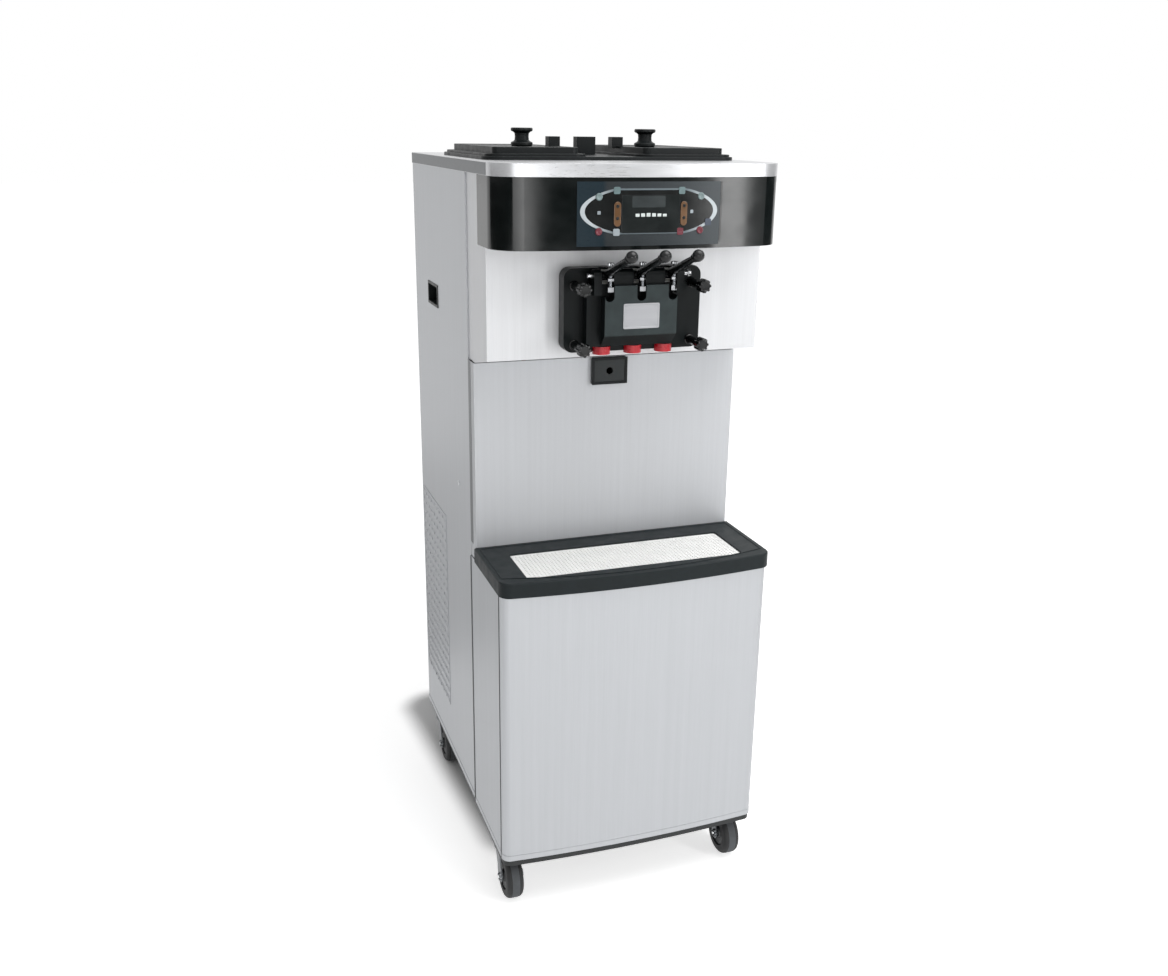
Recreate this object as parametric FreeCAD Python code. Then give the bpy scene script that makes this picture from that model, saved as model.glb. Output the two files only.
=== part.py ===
import FreeCAD, Part
import math
import os
from FreeCAD import Vector

# Floor-standing twin soft-serve freezer on casters, in millimetres.
# +Z is up, +X is to the right of someone who faces the machine, and the serving side faces -Y.
# The origin is on the floor, below the middle of the overall width and depth.

# Clearances
RUN = 0.05            # radial clearance of a shaft or pin that turns in its hole
SLIP = 0.3            # clearance between pieces that move past each other
SEAM = 1.0            # visible gap between neighbouring skins

# Cabinet
CABINET_WIDTH = 562.0
CABINET_DEPTH = 544.0         # rear face to the lower front panel's face
FLOOR_GAP = 140.0             # floor to the bottom edge of the skins
DECK_TOP = 1510.0
SHEET = 2.0                   # stainless skin thickness
SKIN_FLANGE = 15.0            # inward flange on a side panel's front and rear edge
CORNER_RETURN = 43.0          # front panel's side return, back to the side panel's edge
PANEL_SCREW_R = 5.0
PANEL_SCREW_HEAD = 2.5
PANEL_SCREW_SHANK_R = 2.0

# Base frame and posts
PAN = 3.0                     # base plate, rim and post thickness
BASE_DROP = 25.0              # base rail that shows below the skins
RIM_HEIGHT = 25.0             # base rim behind the skins
POST_LEG = 30.0

# Casters
CASTER_INSET = 30.0           # cabinet's side to the swivel axes
FRONT_CASTER_INSET = 75.5     # lower box's corners back to the front swivel axes
REAR_CASTER_INSET = 75.0
WHEEL_R = 48.0
WHEEL_WIDTH = 36.0
WHEEL_EDGE_R = 9.0
CASTER_TRAIL = 28.0
AXLE_R = 5.0
STEM_R = 8.0
STEM_LENGTH = 28.0
SOCKET_R = 18.0
SOCKET_DROP = 3.0             # socket's lower rim below the base plate
FORK_PLATE = 3.5
FORK_DISC_R = 26.0
FORK_DISC = 8.0

# Head and control band
HEAD_OVERHANG = 95.0          # lower front panel's face to the head panel's face
HEAD_INSET = 3.0              # side panel's face to the head's side
HEAD_HEIGHT = 360.0           # deck's top to the head's front bottom edge
HEAD_SLOPE = 20.0             # fall of the head's underside towards the lower front panel
TRIM_HEIGHT = 23.4
TRIM_PROUD = 0.5              # deck trim beyond the control band's face
FASCIA_HEIGHT = 125.6
FASCIA_PROUD = 3.5            # control band beyond the head shell, on each side
FASCIA_WALL = 3.0
FASCIA_LEAD = 28.0            # head panel's face to the band's corner
FASCIA_BOW = 76.0
FASCIA_CORNER_R = 60.0
FASCIA_SIDE = 73.0            # length of the band's side returns

# Controls on the band
OVERLAY = 1.2                 # film and its adhesive
ADHESIVE = 0.35
OVERLAY_WIDTH = 276.0
OVERLAY_MARGIN = 7.0          # band edge to overlay edge, above and below
WINDOW = 1.2
WINDOW_WIDTH = 112.0
WINDOW_HEIGHT = 66.0
LAMP_PROUD = 2.0
LAMP_WIDTH = 13.0
LAMP_HEIGHT = 43.0
LAMP_GAP = 8.0                # window's end to the middle of a lamp
KEY_R = 6.5
KEY_INSET = 40.0              # overlay's end to the keys
KEY_SPACING = 60.0
KEY_PROUD = 1.8
KEY_TRAVEL = 1.2
KEY_FLANGE = 2.0              # width and thickness of the key's retaining flange

# Freezer door
DOOR_DROP = 266.5             # deck's top to the middle of the door and the freezing cylinders
FLANGE_WIDTH = 276.0
FLANGE_HEIGHT = 157.0
FLANGE_DEPTH = 30.0
FLANGE_CORNER_R = 18.0
STEP_INSET = 38.0             # door's end to its step
STEP_DEPTH = 20.0
BLOCK_WIDTH = 144.0
BLOCK_DEPTH = 23.0
BLOCK_BELOW = 65.5            # door's middle to the block's bottom
BLOCK_ABOVE = 49.5            # door's middle to the block's top
BLOCK_BEVEL = 24.0
VALVE_SPACING = 63.0
VALVE_REACH = 31.0            # head panel's face to the valve axes
VALVE_R = 10.0
VALVE_LIFT = 8.0              # block's bottom to the plunger's lower end
VALVE_STAND = 25.0            # plunger's upper end above the block
SPOUT_R = 14.0
SPOUT_DROP = 12.0             # spouts below the block
CAP_R = 17.0
CAP_FLOOR = 3.0
CAP_DROP = 5.0                # spout cap's floor below the spout's rim
CAP_HEIGHT = 15.0
PORT_R = 6.0
PORT_LIFT = 19.0              # block's bottom to the ports in the valve bores
HAND_SCREW_INSET = 20.0       # door's end to the hand screws
HAND_SCREW_BELOW = 63.5       # door's middle to the lower hand screws
HAND_SCREW_ABOVE = 46.5       # door's middle to the upper hand screws
HAND_SCREW_R = 4.0
HAND_SCREW_NECK_R = 8.0
HAND_SCREW_NECK = 47.0
HAND_SCREW_KNOB_R = 13.0
HAND_SCREW_KNOB = 20.0

# Draw handles
PIVOT_RISE = 17.0             # pivot above the block
PIVOT_R = 4.0
PIVOT_HALF_LENGTH = 100.0
PIVOT_HEAD_R = 7.0
PIVOT_HEAD = 6.0
TOE_LENGTH = 20.0             # pivot to the toe that lifts the valve
TOE_ANGLE = 20.0              # toe below level at rest, and above level at the end of the pull
TOE_R = 3.5
TOE_ARM_R = 2.5
HUB_R = 8.4
HUB_WIDTH = 20.0
LUG_R = 12.0
LUG_GAP = 2.0
OUTER_LUG = 15.0
HANDLE_LENGTH = 135.4
HANDLE_ANGLE = 20.0           # handle above level at rest
HANDLE_ROOT_R = 8.0
HANDLE_TIP_R = 5.5
BALL_R = 11.0
ADJUSTER_REACH = 24.0         # pivot to the adjusting screw's axis
ADJUSTER_R = 4.0
ADJUSTER_NUT_R = 6.5
ADJUSTER_NUT = 6.0
ADJUSTER_FOOT = 10.0
ADJUSTER_DROP = 28.0          # pivot to the adjusting screw's foot
NOTCH_WIDTH = 18.0
NOTCH_DEPTH = 29.0            # block's top to the floor of a notch
NOTCH_WALL = 3.0              # door wall left between a notch and its valve

# Freezing cylinders, beaters and gear motors
CYLINDER_INSET = 56.0         # door's end to the cylinders' axes
CYLINDER_BORE_R = 44.0
CYLINDER_WALL = 4.0
JACKET_R = 58.0
JACKET_SETBACK = 13.0         # head panel's face to the jacket's front end
CYLINDER_LENGTH = 385.0
CYLINDER_REAR_WALL = 10.0
GASKET_R = 2.0
INLET_R = 11.0
INLET_WALL = 5.0
INLET_BACK = 295.0            # head panel's face to the mix inlet
SHAFT_R = 9.0
BEATER_BAR_R = 40.0
BEATER_BAR = 8.0
BEATER_SPOKES = 5
BEATER_FRONT_GAP = 8.0
GEARBOX = 80.0
GEARBOX_DEPTH = 70.0
SHAFT_ENGAGE = 40.0
MOTOR_R = 48.0
MOTOR_LENGTH = 130.0

# Hoppers, lids and feed tubes
HOPPER_INNER = 20.0           # cylinder's axis to the hopper's inner wall
HOPPER_SIDE = 41.0            # cabinet's side to the hopper
HOPPER_FRONT = 86.0           # head panel's face to the hopper's front wall
HOPPER_LENGTH = 348.0
HOPPER_DEPTH = 167.0          # deck's top to the hopper's underside
HOPPER_CORNER_R = 24.0
HOPPER_RIM = 5.0
LID_INNER = 10.0              # hopper's inner wall to the lid's edge
LID_SIDE = 30.0               # cabinet's side to the lid's edge
LID_FRONT = 80.0              # head panel's face to the lid's front edge
LID_LENGTH = 360.0
LID_PLATE = 11.0
LID_PLATEAU = 12.0
LID_STEP = 15.0               # lid's edge to its raised middle
LID_CORNER_R = 28.0
LID_LUG_INSET = 16.0          # lid's inner edge to the lug
LID_LUG = 24.0
LID_LUG_HEIGHT = 18.0
KNOB_X = 133.0
KNOB_R = 22.0
KNOB_NECK_R = 15.0
KNOB_HEIGHT = 34.0
KNOB_RIM = 7.0
SPACER_WIDTH = 40.0
FEED_TUBE_WALL = 2.5
FEED_TUBE_SUNK = 15.0         # deck's top to the feed tube's upper end
FEED_TUBE_DEPTH = 14.0        # length of the tube's end inside the mix inlet
FEED_COLLAR = 3.0

# Lower front panel, drip drawer, drip tray and lower box
FRONT_PANEL_SKIRT = 26.0      # front panel below the drip tray's underside
DRAWER_WIDTH = 76.0
DRAWER_HEIGHT = 55.0
DRAWER_FRONT = 8.0
DRAWER_LENGTH = 310.0
DRAWER_WALL = 2.0
DRAWER_MARGIN = 4.0           # drawer front beyond the opening, on each side
FINGER_HOLE_R = 7.0
TRAY_LIP = 3.0                # drip tray beyond the lower box, at its sides and corners
TRAY_TOP = 746.6
TRAY_HEIGHT = 31.0
TRAY_BOW = 40.0
TRAY_CORNER_R = 24.0
TRAY_FLOOR = 3.0
WELL_SIDE = 58.0              # tray's side to the well's side edge
WELL_BACK = 58.0              # lower front panel's face to the well's back edge
WELL_DEPTH = 132.0            # front to back
GRILLE = 4.0
GRILLE_RECESS = 3.0           # grille's top below the tray's rim
GRILLE_LEDGE = 7.0
GRILLE_HOLE = 8.0
GRILLE_PITCH = 16.0
BOX_PROUD = 2.0               # lower box beyond the side panels' faces
BOX_REACH = 182.0             # lower front panel's face to the box's corners
BOX_BOW = 29.0
BOX_CORNER_R = 18.0
BOX_LEDGE = 22.0              # inward ledge that carries the drip tray

# Vents and pulls in the side and rear panels
VENT_BACK = 24.0              # rear face to the vent field
VENT_LIFT = 110.0             # side panel's bottom edge to the lowest slots
VENT_COLUMNS = 8
VENT_ROWS = 20
VENT_SLOT = 20.0
VENT_SLOT_HEIGHT = 6.0
VENT_COLUMN_PITCH = 30.0
VENT_ROW_PITCH = 24.0
LOUVRE_WIDTH = 320.0
LOUVRE_COUNT = 14
LOUVRE_PITCH = 30.0
LOUVRE_LIFT = 120.0           # rear panel's bottom edge to the lowest slot
PULL_BACK = 139.0             # rear face to the pull recess
PULL_LENGTH = 98.0
PULL_DROP = 320.0             # deck's top to the pull's bottom edge
PULL_HEIGHT = 50.0
PULL_DEPTH = 24.0
PULL_LIP = 4.0
PULL_PROUD = 1.5

# Refrigeration and electrics
CONDENSER_THICKNESS = 45.0
CONDENSER_LENGTH = 220.0
CONDENSER_HEIGHT = 337.0
CONDENSER_BACK = 105.0        # rear face to the condenser
CONDENSER_SIDE = 9.0          # cabinet's side to the condenser
FIN_COUNT = 24
FIN_GAP = 7.0
SHROUD = 3.0
SHROUD_RING = 35.0
FAN_R = 95.0
FAN_TIP_GAP = 3.0
FAN_BLADES = 5
FAN_HUB_R = 26.0
FAN_HUB = 22.0
FAN_SHAFT_R = 5.0
FAN_MOTOR_R = 38.0
FAN_MOTOR_LENGTH = 76.0
COMPRESSOR_X = 52.0
COMPRESSOR_BACK = 214.0       # rear face to the compressor's axis
COMPRESSOR_R = 90.0
COMPRESSOR_HEIGHT = 230.0
COMPRESSOR_FOOT = 200.0
COMPRESSOR_FOOT_PLATE = 6.0
COMPRESSOR_STUB = 30.0        # pipe stubs either side of the compressor's axis
STUB_R = 8.0
STUB_HEIGHT = 10.0
PIPE_R = 5.0
PIPE_BEND = 25.0
CONTROL_BOX_WIDTH = 300.0
CONTROL_BOX_HEIGHT = 220.0
CONTROL_BOX_DEPTH = 80.0
CONTROL_BOX_LIFT = 33.4       # drip tray's top to the box
GLAND_X = 150.0
GLAND_BACK = 60.0
GLAND_R = 14.0
GLAND_BORE_R = 8.0
GLAND_LENGTH = 20.0
GLAND_FLANGE = 4.0

# Places that follow from the sizes above
SIDES = {"left": -1, "right": 1}
SPOUTS = {"left": -VALVE_SPACING, "centre": 0.0, "right": VALVE_SPACING}
HALF_WIDTH = CABINET_WIDTH / 2
INNER_X = HALF_WIDTH - SHEET
HEAD_HALF = HALF_WIDTH - HEAD_INSET
BOX_HALF = HALF_WIDTH + BOX_PROUD
TRAY_HALF = BOX_HALF + TRAY_LIP
WELL_HALF = TRAY_HALF - WELL_SIDE
CASTER_X = HALF_WIDTH - CASTER_INSET
HOPPER_OUTER_X = HALF_WIDTH - HOPPER_SIDE
LID_OUTER_X = HALF_WIDTH - LID_SIDE
HEAD_FRONT_BOTTOM = DECK_TOP - HEAD_HEIGHT
HEAD_REAR_BOTTOM = HEAD_FRONT_BOTTOM - HEAD_SLOPE
DOOR_Z = DECK_TOP - DOOR_DROP
BLOCK_BOTTOM = DOOR_Z - BLOCK_BELOW
BLOCK_TOP = DOOR_Z + BLOCK_ABOVE
VALVE_BOTTOM = BLOCK_BOTTOM + VALVE_LIFT
VALVE_TOP = BLOCK_TOP + VALVE_STAND
SPOUT_BOTTOM = BLOCK_BOTTOM - SPOUT_DROP
PORT_Z = BLOCK_BOTTOM + PORT_LIFT
PIVOT_Z = BLOCK_TOP + PIVOT_RISE
ADJUSTER_BOTTOM = PIVOT_Z - ADJUSTER_DROP
NOTCH_BOTTOM = BLOCK_TOP - NOTCH_DEPTH
HOPPER_BOTTOM = DECK_TOP - HOPPER_DEPTH
FEED_TUBE_TOP = DECK_TOP - FEED_TUBE_SUNK
PULL_BOTTOM = DECK_TOP - PULL_DROP
CONTROL_BOX_Z = TRAY_TOP + CONTROL_BOX_LIFT
VENT_BOTTOM = FLOOR_GAP + VENT_LIFT
LOUVRE_BOTTOM = FLOOR_GAP + LOUVRE_LIFT
TOE_RUN = TOE_LENGTH * math.cos(math.radians(TOE_ANGLE))
TOE_DROP = TOE_LENGTH * math.sin(math.radians(TOE_ANGLE))
HANDLE_RUN = HANDLE_LENGTH * math.cos(math.radians(HANDLE_ANGLE))
HANDLE_RISE = HANDLE_LENGTH * math.sin(math.radians(HANDLE_ANGLE))
OVERALL_DEPTH = (PANEL_SCREW_HEAD + CABINET_DEPTH + HEAD_OVERHANG + VALVE_REACH + TOE_RUN
                 + HANDLE_RUN + BALL_R)
REAR_Y = OVERALL_DEPTH / 2 - PANEL_SCREW_HEAD
FRONT_Y = REAR_Y - CABINET_DEPTH
SEAM_Y = FRONT_Y + CORNER_RETURN
HEAD_Y = FRONT_Y - HEAD_OVERHANG
FASCIA_CORNER_Y = HEAD_Y - FASCIA_LEAD
FLANGE_Y = HEAD_Y - FLANGE_DEPTH
STEP_Y = FLANGE_Y - STEP_DEPTH
BLOCK_Y = STEP_Y - BLOCK_DEPTH
VALVE_Y = HEAD_Y - VALVE_REACH
PIVOT_Y = VALVE_Y - TOE_RUN
ADJUSTER_Y = PIVOT_Y - ADJUSTER_REACH
TRAY_BOTTOM = TRAY_TOP - TRAY_HEIGHT
SKIN_TOP = DECK_TOP - TRIM_HEIGHT
DECK_UNDER = DECK_TOP - SHEET
FASCIA_BOTTOM = SKIN_TOP - FASCIA_HEIGHT
FASCIA_HALF = HEAD_HALF + FASCIA_PROUD
FASCIA_Z = SKIN_TOP - FASCIA_HEIGHT / 2
BASE_BOTTOM = FLOOR_GAP - BASE_DROP
PAN_TOP = BASE_BOTTOM + PAN
KEY_X = OVERLAY_WIDTH / 2 - KEY_INSET
LAMP_X = WINDOW_WIDTH / 2 + LAMP_GAP
STEP_WIDTH = FLANGE_WIDTH - 2 * STEP_INSET
HAND_SCREW_X = FLANGE_WIDTH / 2 - HAND_SCREW_INSET
CYLINDER_X = FLANGE_WIDTH / 2 - CYLINDER_INSET
HOPPER_INNER_X = CYLINDER_X - HOPPER_INNER
LID_INNER_X = HOPPER_INNER_X - LID_INNER
LID_LUG_X = LID_INNER_X + LID_LUG_INSET
CYLINDER_REAR_Y = HEAD_Y + CYLINDER_LENGTH
INLET_Y = HEAD_Y + INLET_BACK
LID_MID_Y = HEAD_Y + LID_FRONT + LID_LENGTH / 2
LID_TOP = DECK_TOP + LID_PLATE + LID_PLATEAU
DRAWER_TOP = HEAD_REAR_BOTTOM - 2 * SEAM
DRAWER_BOTTOM = DRAWER_TOP - DRAWER_HEIGHT
PULL_Y = REAR_Y - PULL_BACK - PULL_LENGTH
SIDE_SCREW_Y = SEAM_Y + 101.0
SIDE_SCREW_Z = 842.0
SOCKET_BOTTOM = BASE_BOTTOM - SOCKET_DROP


def box(x0, x1, y0, y1, z0, z1):
    """Box between two corners."""
    return Part.makeBox(x1 - x0, y1 - y0, z1 - z0, Vector(x0, y0, z0))


def side_box(side, x0, x1, y0, y1, z0, z1):
    """Box given by its distances from the middle plane, on one side of it."""
    low, high = sorted((side * x0, side * x1))
    return box(low, high, y0, y1, z0, z1)


def rod(start, axis, radius, length):
    """Cylinder from a point along an axis."""
    return Part.makeCylinder(radius, length, Vector(*start), Vector(*axis))


def fuse(shapes):
    """One solid out of pieces that overlap or touch."""
    return shapes[0].multiFuse(shapes[1:]).removeSplitter()


def cut(shape, tools):
    """Shape with every tool taken out of it."""
    return shape.cut(Part.makeCompound(tools))


def rounded_box(x0, x1, y0, y1, z0, z1, radius, axis):
    """Box whose four edges along one axis are rounded."""
    solid = box(x0, x1, y0, y1, z0, z1)
    edges = []
    for edge in solid.Edges:
        direction = edge.tangentAt(edge.FirstParameter)
        if abs(direction.dot(Vector(*axis))) > 0.99:
            edges.append(edge)
    return solid.makeFillet(radius, edges)


def prism(points, direction):
    """Straight-sided solid: a closed outline moved along a direction."""
    corners = [Vector(*point) for point in points]
    face = Part.Face(Part.makePolygon(corners + corners[:1]))
    return face.extrude(Vector(*direction))


def bow_centre(half, bow, radius):
    """Distance from the corners' line back to the centre of a bowed edge's middle arc."""
    span = half - radius
    rise = bow - radius
    return (span ** 2 - rise ** 2) / (2 * rise)


def bowed_prism(half, back_y, corner_y, bow, radius, z0, z1):
    """Plate outline with a bowed front: a wide middle arc that runs into round corners."""
    centre = bow_centre(half, bow, radius)
    span = half - radius
    reach = math.hypot(span, centre)
    blend_x = span + radius * span / reach
    blend_y = radius * centre / reach
    turn = math.atan2(blend_y, blend_x - span) / 2
    mid_x = span + radius * math.cos(turn)
    mid_y = radius * math.sin(turn)

    def at(x, forward):
        return Vector(x, corner_y - forward, z0)

    edges = [
        Part.LineSegment(at(half, corner_y - back_y), at(-half, corner_y - back_y)).toShape(),
        Part.LineSegment(at(-half, corner_y - back_y), at(-half, 0)).toShape(),
        Part.Arc(at(-half, 0), at(-mid_x, mid_y), at(-blend_x, blend_y)).toShape(),
        Part.Arc(at(-blend_x, blend_y), at(0, bow), at(blend_x, blend_y)).toShape(),
        Part.Arc(at(blend_x, blend_y), at(mid_x, mid_y), at(half, 0)).toShape(),
        Part.LineSegment(at(half, 0), at(half, corner_y - back_y)).toShape(),
    ]
    return Part.Face(Part.Wire(edges)).extrude(Vector(0, 0, z1 - z0))


def fascia_prism(grow, back_y, z0, z1):
    """Control band's outline, grown by a distance all round its front."""
    return bowed_prism(FASCIA_HALF + grow, back_y, FASCIA_CORNER_Y, FASCIA_BOW + grow,
                       FASCIA_CORNER_R + grow, z0, z1)


def fascia_y(x):
    """Depth of the control band's face at a distance from the middle."""
    centre = bow_centre(FASCIA_HALF, FASCIA_BOW, FASCIA_CORNER_R)
    return FASCIA_CORNER_Y + centre - math.sqrt((centre + FASCIA_BOW) ** 2 - x ** 2)


def pipe(points, radius, bend):
    """Round pipe along straight runs joined by tangent arcs."""
    corners = [Vector(*point) for point in points]
    edges = []
    start = corners[0]
    for before, corner, after in zip(corners, corners[1:], corners[2:]):
        into = (corner - before).normalize()
        out = (after - corner).normalize()
        first = corner - into * bend
        last = corner + out * bend
        middle = corner + (out - into).normalize() * bend * (math.sqrt(2) - 1)
        edges.append(Part.LineSegment(start, first).toShape())
        edges.append(Part.Arc(first, middle, last).toShape())
        start = last
    edges.append(Part.LineSegment(start, corners[-1]).toShape())
    path = Part.Wire(edges)
    section = Part.Wire(Part.makeCircle(radius, corners[0], corners[1] - corners[0]))
    return path.makePipeShell([section], True, False)


def save(name, solids):
    """Write one node from its solids."""
    shape = solids[0] if len(solids) == 1 else Part.makeCompound(solids)
    for solid in shape.Solids:
        if not solid.isValid():
            print("not valid:", name)
    print(f"{name}: {len(shape.Solids)} solid(s), {shape.Volume / 1000:.1f} cm3")
    shape.exportStep(os.path.join("parts", name + ".step"))


def caster_places():
    """Swivel axis of each caster, by its name."""
    rows = {"front": FRONT_Y - BOX_REACH + FRONT_CASTER_INSET, "rear": REAR_Y - REAR_CASTER_INSET}
    places = {}
    for row, y in rows.items():
        for side, sign in SIDES.items():
            places[f"{row}_{side}"] = (sign * CASTER_X, y)
    return places


def chassis_frame():
    """Base plate with rims and caster sockets, and the four corner posts that stand on it."""
    rear = REAR_Y - 2 * SHEET
    rim_top = FLOOR_GAP + RIM_HEIGHT
    front_bay = box_prism(-SHEET, SEAM_Y, BASE_BOTTOM, rim_top)
    rear_bay = box(-INNER_X, INNER_X, SEAM_Y, rear, BASE_BOTTOM, rim_top)
    hollow_front = box_prism(-SHEET - PAN, SEAM_Y + PAN, PAN_TOP, DECK_TOP)
    hollow_rear = box(-INNER_X + PAN, INNER_X - PAN, SEAM_Y, rear - PAN, PAN_TOP, DECK_TOP)
    base = cut(fuse([front_bay, rear_bay]), [hollow_front, hollow_rear])
    sockets = []
    bores = []
    for x, y in caster_places().values():
        sockets.append(rod((x, y, SOCKET_BOTTOM), (0, 0, 1), SOCKET_R, STEM_LENGTH + SOCKET_DROP))
        bores.append(rod((x, y, 0), (0, 0, 1), STEM_R + RUN, DECK_TOP))
    bores.append(rod((GLAND_X, REAR_Y - GLAND_BACK, 0), (0, 0, 1), GLAND_R, DECK_TOP))
    base = cut(fuse([base] + sockets), bores)
    posts = []
    outer = INNER_X - PAN
    for side in SIDES.values():
        for edge_y, inward in ((FRONT_Y + SHEET, 1), (rear - PAN, -1)):
            near, far = sorted((edge_y, edge_y + inward * PAN))
            leg_low, leg_high = sorted((edge_y, edge_y + inward * POST_LEG))
            across = side_box(side, outer - POST_LEG, outer, near, far, PAN_TOP, DECK_UNDER)
            along = side_box(side, outer - PAN, outer, leg_low, leg_high, PAN_TOP, DECK_UNDER)
            posts.append(fuse([across, along]))
    return [base] + posts


def side_panel(side):
    """Side skin with edge flanges, a punched vent field, the pull's cut-out and a screw hole."""
    front = SEAM_Y + SEAM / 2
    skin = side_box(side, INNER_X, HALF_WIDTH, front, REAR_Y, FLOOR_GAP, SKIN_TOP)
    low = FLOOR_GAP + RIM_HEIGHT
    front_flange = side_box(side, INNER_X - SKIN_FLANGE, INNER_X, front, front + SHEET, low, SKIN_TOP)
    rear_flange = side_box(side, INNER_X - SKIN_FLANGE, INNER_X, REAR_Y - 2 * SHEET, REAR_Y - SHEET,
                           low, SKIN_TOP)
    slots = []
    for column in range(VENT_COLUMNS):
        back = REAR_Y - VENT_BACK - column * VENT_COLUMN_PITCH
        for row in range(VENT_ROWS):
            z = VENT_BOTTOM + row * VENT_ROW_PITCH
            slots.append(side_box(side, INNER_X - SHEET, HALF_WIDTH + SHEET, back - VENT_SLOT, back,
                                  z, z + VENT_SLOT_HEIGHT))
    pull = side_box(side, INNER_X - SHEET, HALF_WIDTH + SHEET, PULL_Y + PULL_LIP,
                    PULL_Y + PULL_LENGTH - PULL_LIP, PULL_BOTTOM + PULL_LIP,
                    PULL_BOTTOM + PULL_HEIGHT - PULL_LIP)
    screw = rod((side * (INNER_X - SHEET), SIDE_SCREW_Y, SIDE_SCREW_Z), (side, 0, 0),
                PANEL_SCREW_SHANK_R, 4 * SHEET)
    rear_screws = [rod((x, REAR_Y - 3 * SHEET, z), (0, 1, 0), PANEL_SCREW_SHANK_R, 4 * SHEET)
                   for x, z in rear_screw_places()]
    return cut(fuse([skin, front_flange, rear_flange]), slots + [pull, screw] + rear_screws)


def rear_screw_places():
    """Rear panel's screws, along both edges where the side panels' flanges lie behind it."""
    x = INNER_X - SKIN_FLANGE / 2
    heights = [FLOOR_GAP + 3 * RIM_HEIGHT, (FLOOR_GAP + SKIN_TOP) / 2, SKIN_TOP - 2 * RIM_HEIGHT]
    return [(side * x, z) for side in SIDES.values() for z in heights]


def rear_panel():
    """Rear skin with rows of louvre slots and its screw holes."""
    edge = INNER_X - SLIP
    skin = box(-edge, edge, REAR_Y - SHEET, REAR_Y, FLOOR_GAP, SKIN_TOP)
    holes = [rod((x, REAR_Y - 2 * SHEET, z), (0, 1, 0), PANEL_SCREW_SHANK_R, 3 * SHEET)
             for x, z in rear_screw_places()]
    for row in range(LOUVRE_COUNT):
        z = LOUVRE_BOTTOM + row * LOUVRE_PITCH
        holes.append(box(-LOUVRE_WIDTH / 2, LOUVRE_WIDTH / 2, REAR_Y - 2 * SHEET, REAR_Y + SHEET,
                         z, z + VENT_SLOT_HEIGHT))
    return cut(skin, holes)


def panel_screws():
    """Round-headed screws of the side and rear panels."""
    screws = []
    for side in SIDES.values():
        head = rod((side * HALF_WIDTH, SIDE_SCREW_Y, SIDE_SCREW_Z), (side, 0, 0),
                   PANEL_SCREW_R, PANEL_SCREW_HEAD)
        shank = rod((side * (HALF_WIDTH - 3 * SHEET), SIDE_SCREW_Y, SIDE_SCREW_Z), (side, 0, 0),
                    PANEL_SCREW_SHANK_R, 3 * SHEET)
        screws.append(fuse([head, shank]))
    for x, z in rear_screw_places():
        head = rod((x, REAR_Y, z), (0, 1, 0), PANEL_SCREW_R, PANEL_SCREW_HEAD)
        shank = rod((x, REAR_Y - 3 * SHEET, z), (0, 1, 0), PANEL_SCREW_SHANK_R, 3 * SHEET)
        screws.append(fuse([head, shank]))
    return screws


def side_pulls():
    """Recessed pulls in the side panels: a lip outside and a cup behind it."""
    pulls = []
    y0, y1 = PULL_Y, PULL_Y + PULL_LENGTH
    z0, z1 = PULL_BOTTOM, PULL_BOTTOM + PULL_HEIGHT
    wall = PULL_LIP + SHEET
    for side in SIDES.values():
        lip = side_box(side, HALF_WIDTH, HALF_WIDTH + PULL_PROUD, y0, y1, z0, z1)
        cup = side_box(side, HALF_WIDTH - PULL_DEPTH, HALF_WIDTH, y0 + PULL_LIP, y1 - PULL_LIP,
                       z0 + PULL_LIP, z1 - PULL_LIP)
        hollow = side_box(side, HALF_WIDTH - PULL_DEPTH + SHEET, HALF_WIDTH + 2 * PULL_PROUD,
                          y0 + wall, y1 - wall, z0 + wall, z1 - wall)
        pulls.append(cut(fuse([lip, cup]), [hollow]))
    return pulls


def drawer_opening():
    """Half width, bottom and top of the drip drawer's opening in the lower front panel."""
    half = DRAWER_WIDTH / 2 - DRAWER_MARGIN
    return half, DRAWER_BOTTOM + DRAWER_MARGIN, DRAWER_TOP - DRAWER_MARGIN


def lower_front_panel():
    """Flat front skin with side returns and the welded guide that the drip drawer slides in."""
    low = TRAY_BOTTOM - FRONT_PANEL_SKIRT
    top = HEAD_REAR_BOTTOM - SEAM
    face = box(-INNER_X, INNER_X, FRONT_Y, FRONT_Y + SHEET, low, top)
    returns = [side_box(side, INNER_X, HALF_WIDTH, FRONT_Y, SEAM_Y - SEAM / 2, TRAY_BOTTOM + SEAM, top)
               for side in SIDES.values()]
    half, z0, z1 = drawer_opening()
    guide = box(-half - SHEET, half + SHEET, FRONT_Y, FRONT_Y + DRAWER_LENGTH + DRAWER_WALL,
                z0 - SHEET, z1)
    hollow = box(-half, half, FRONT_Y - SHEET, FRONT_Y + DRAWER_LENGTH + 2 * DRAWER_WALL, z0, z1)
    open_top = box(-half, half, FRONT_Y + SHEET, FRONT_Y + DRAWER_LENGTH + 2 * DRAWER_WALL, z0,
                   HEAD_FRONT_BOTTOM)
    return cut(fuse([face] + returns + [guide]), [hollow, open_top])


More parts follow.
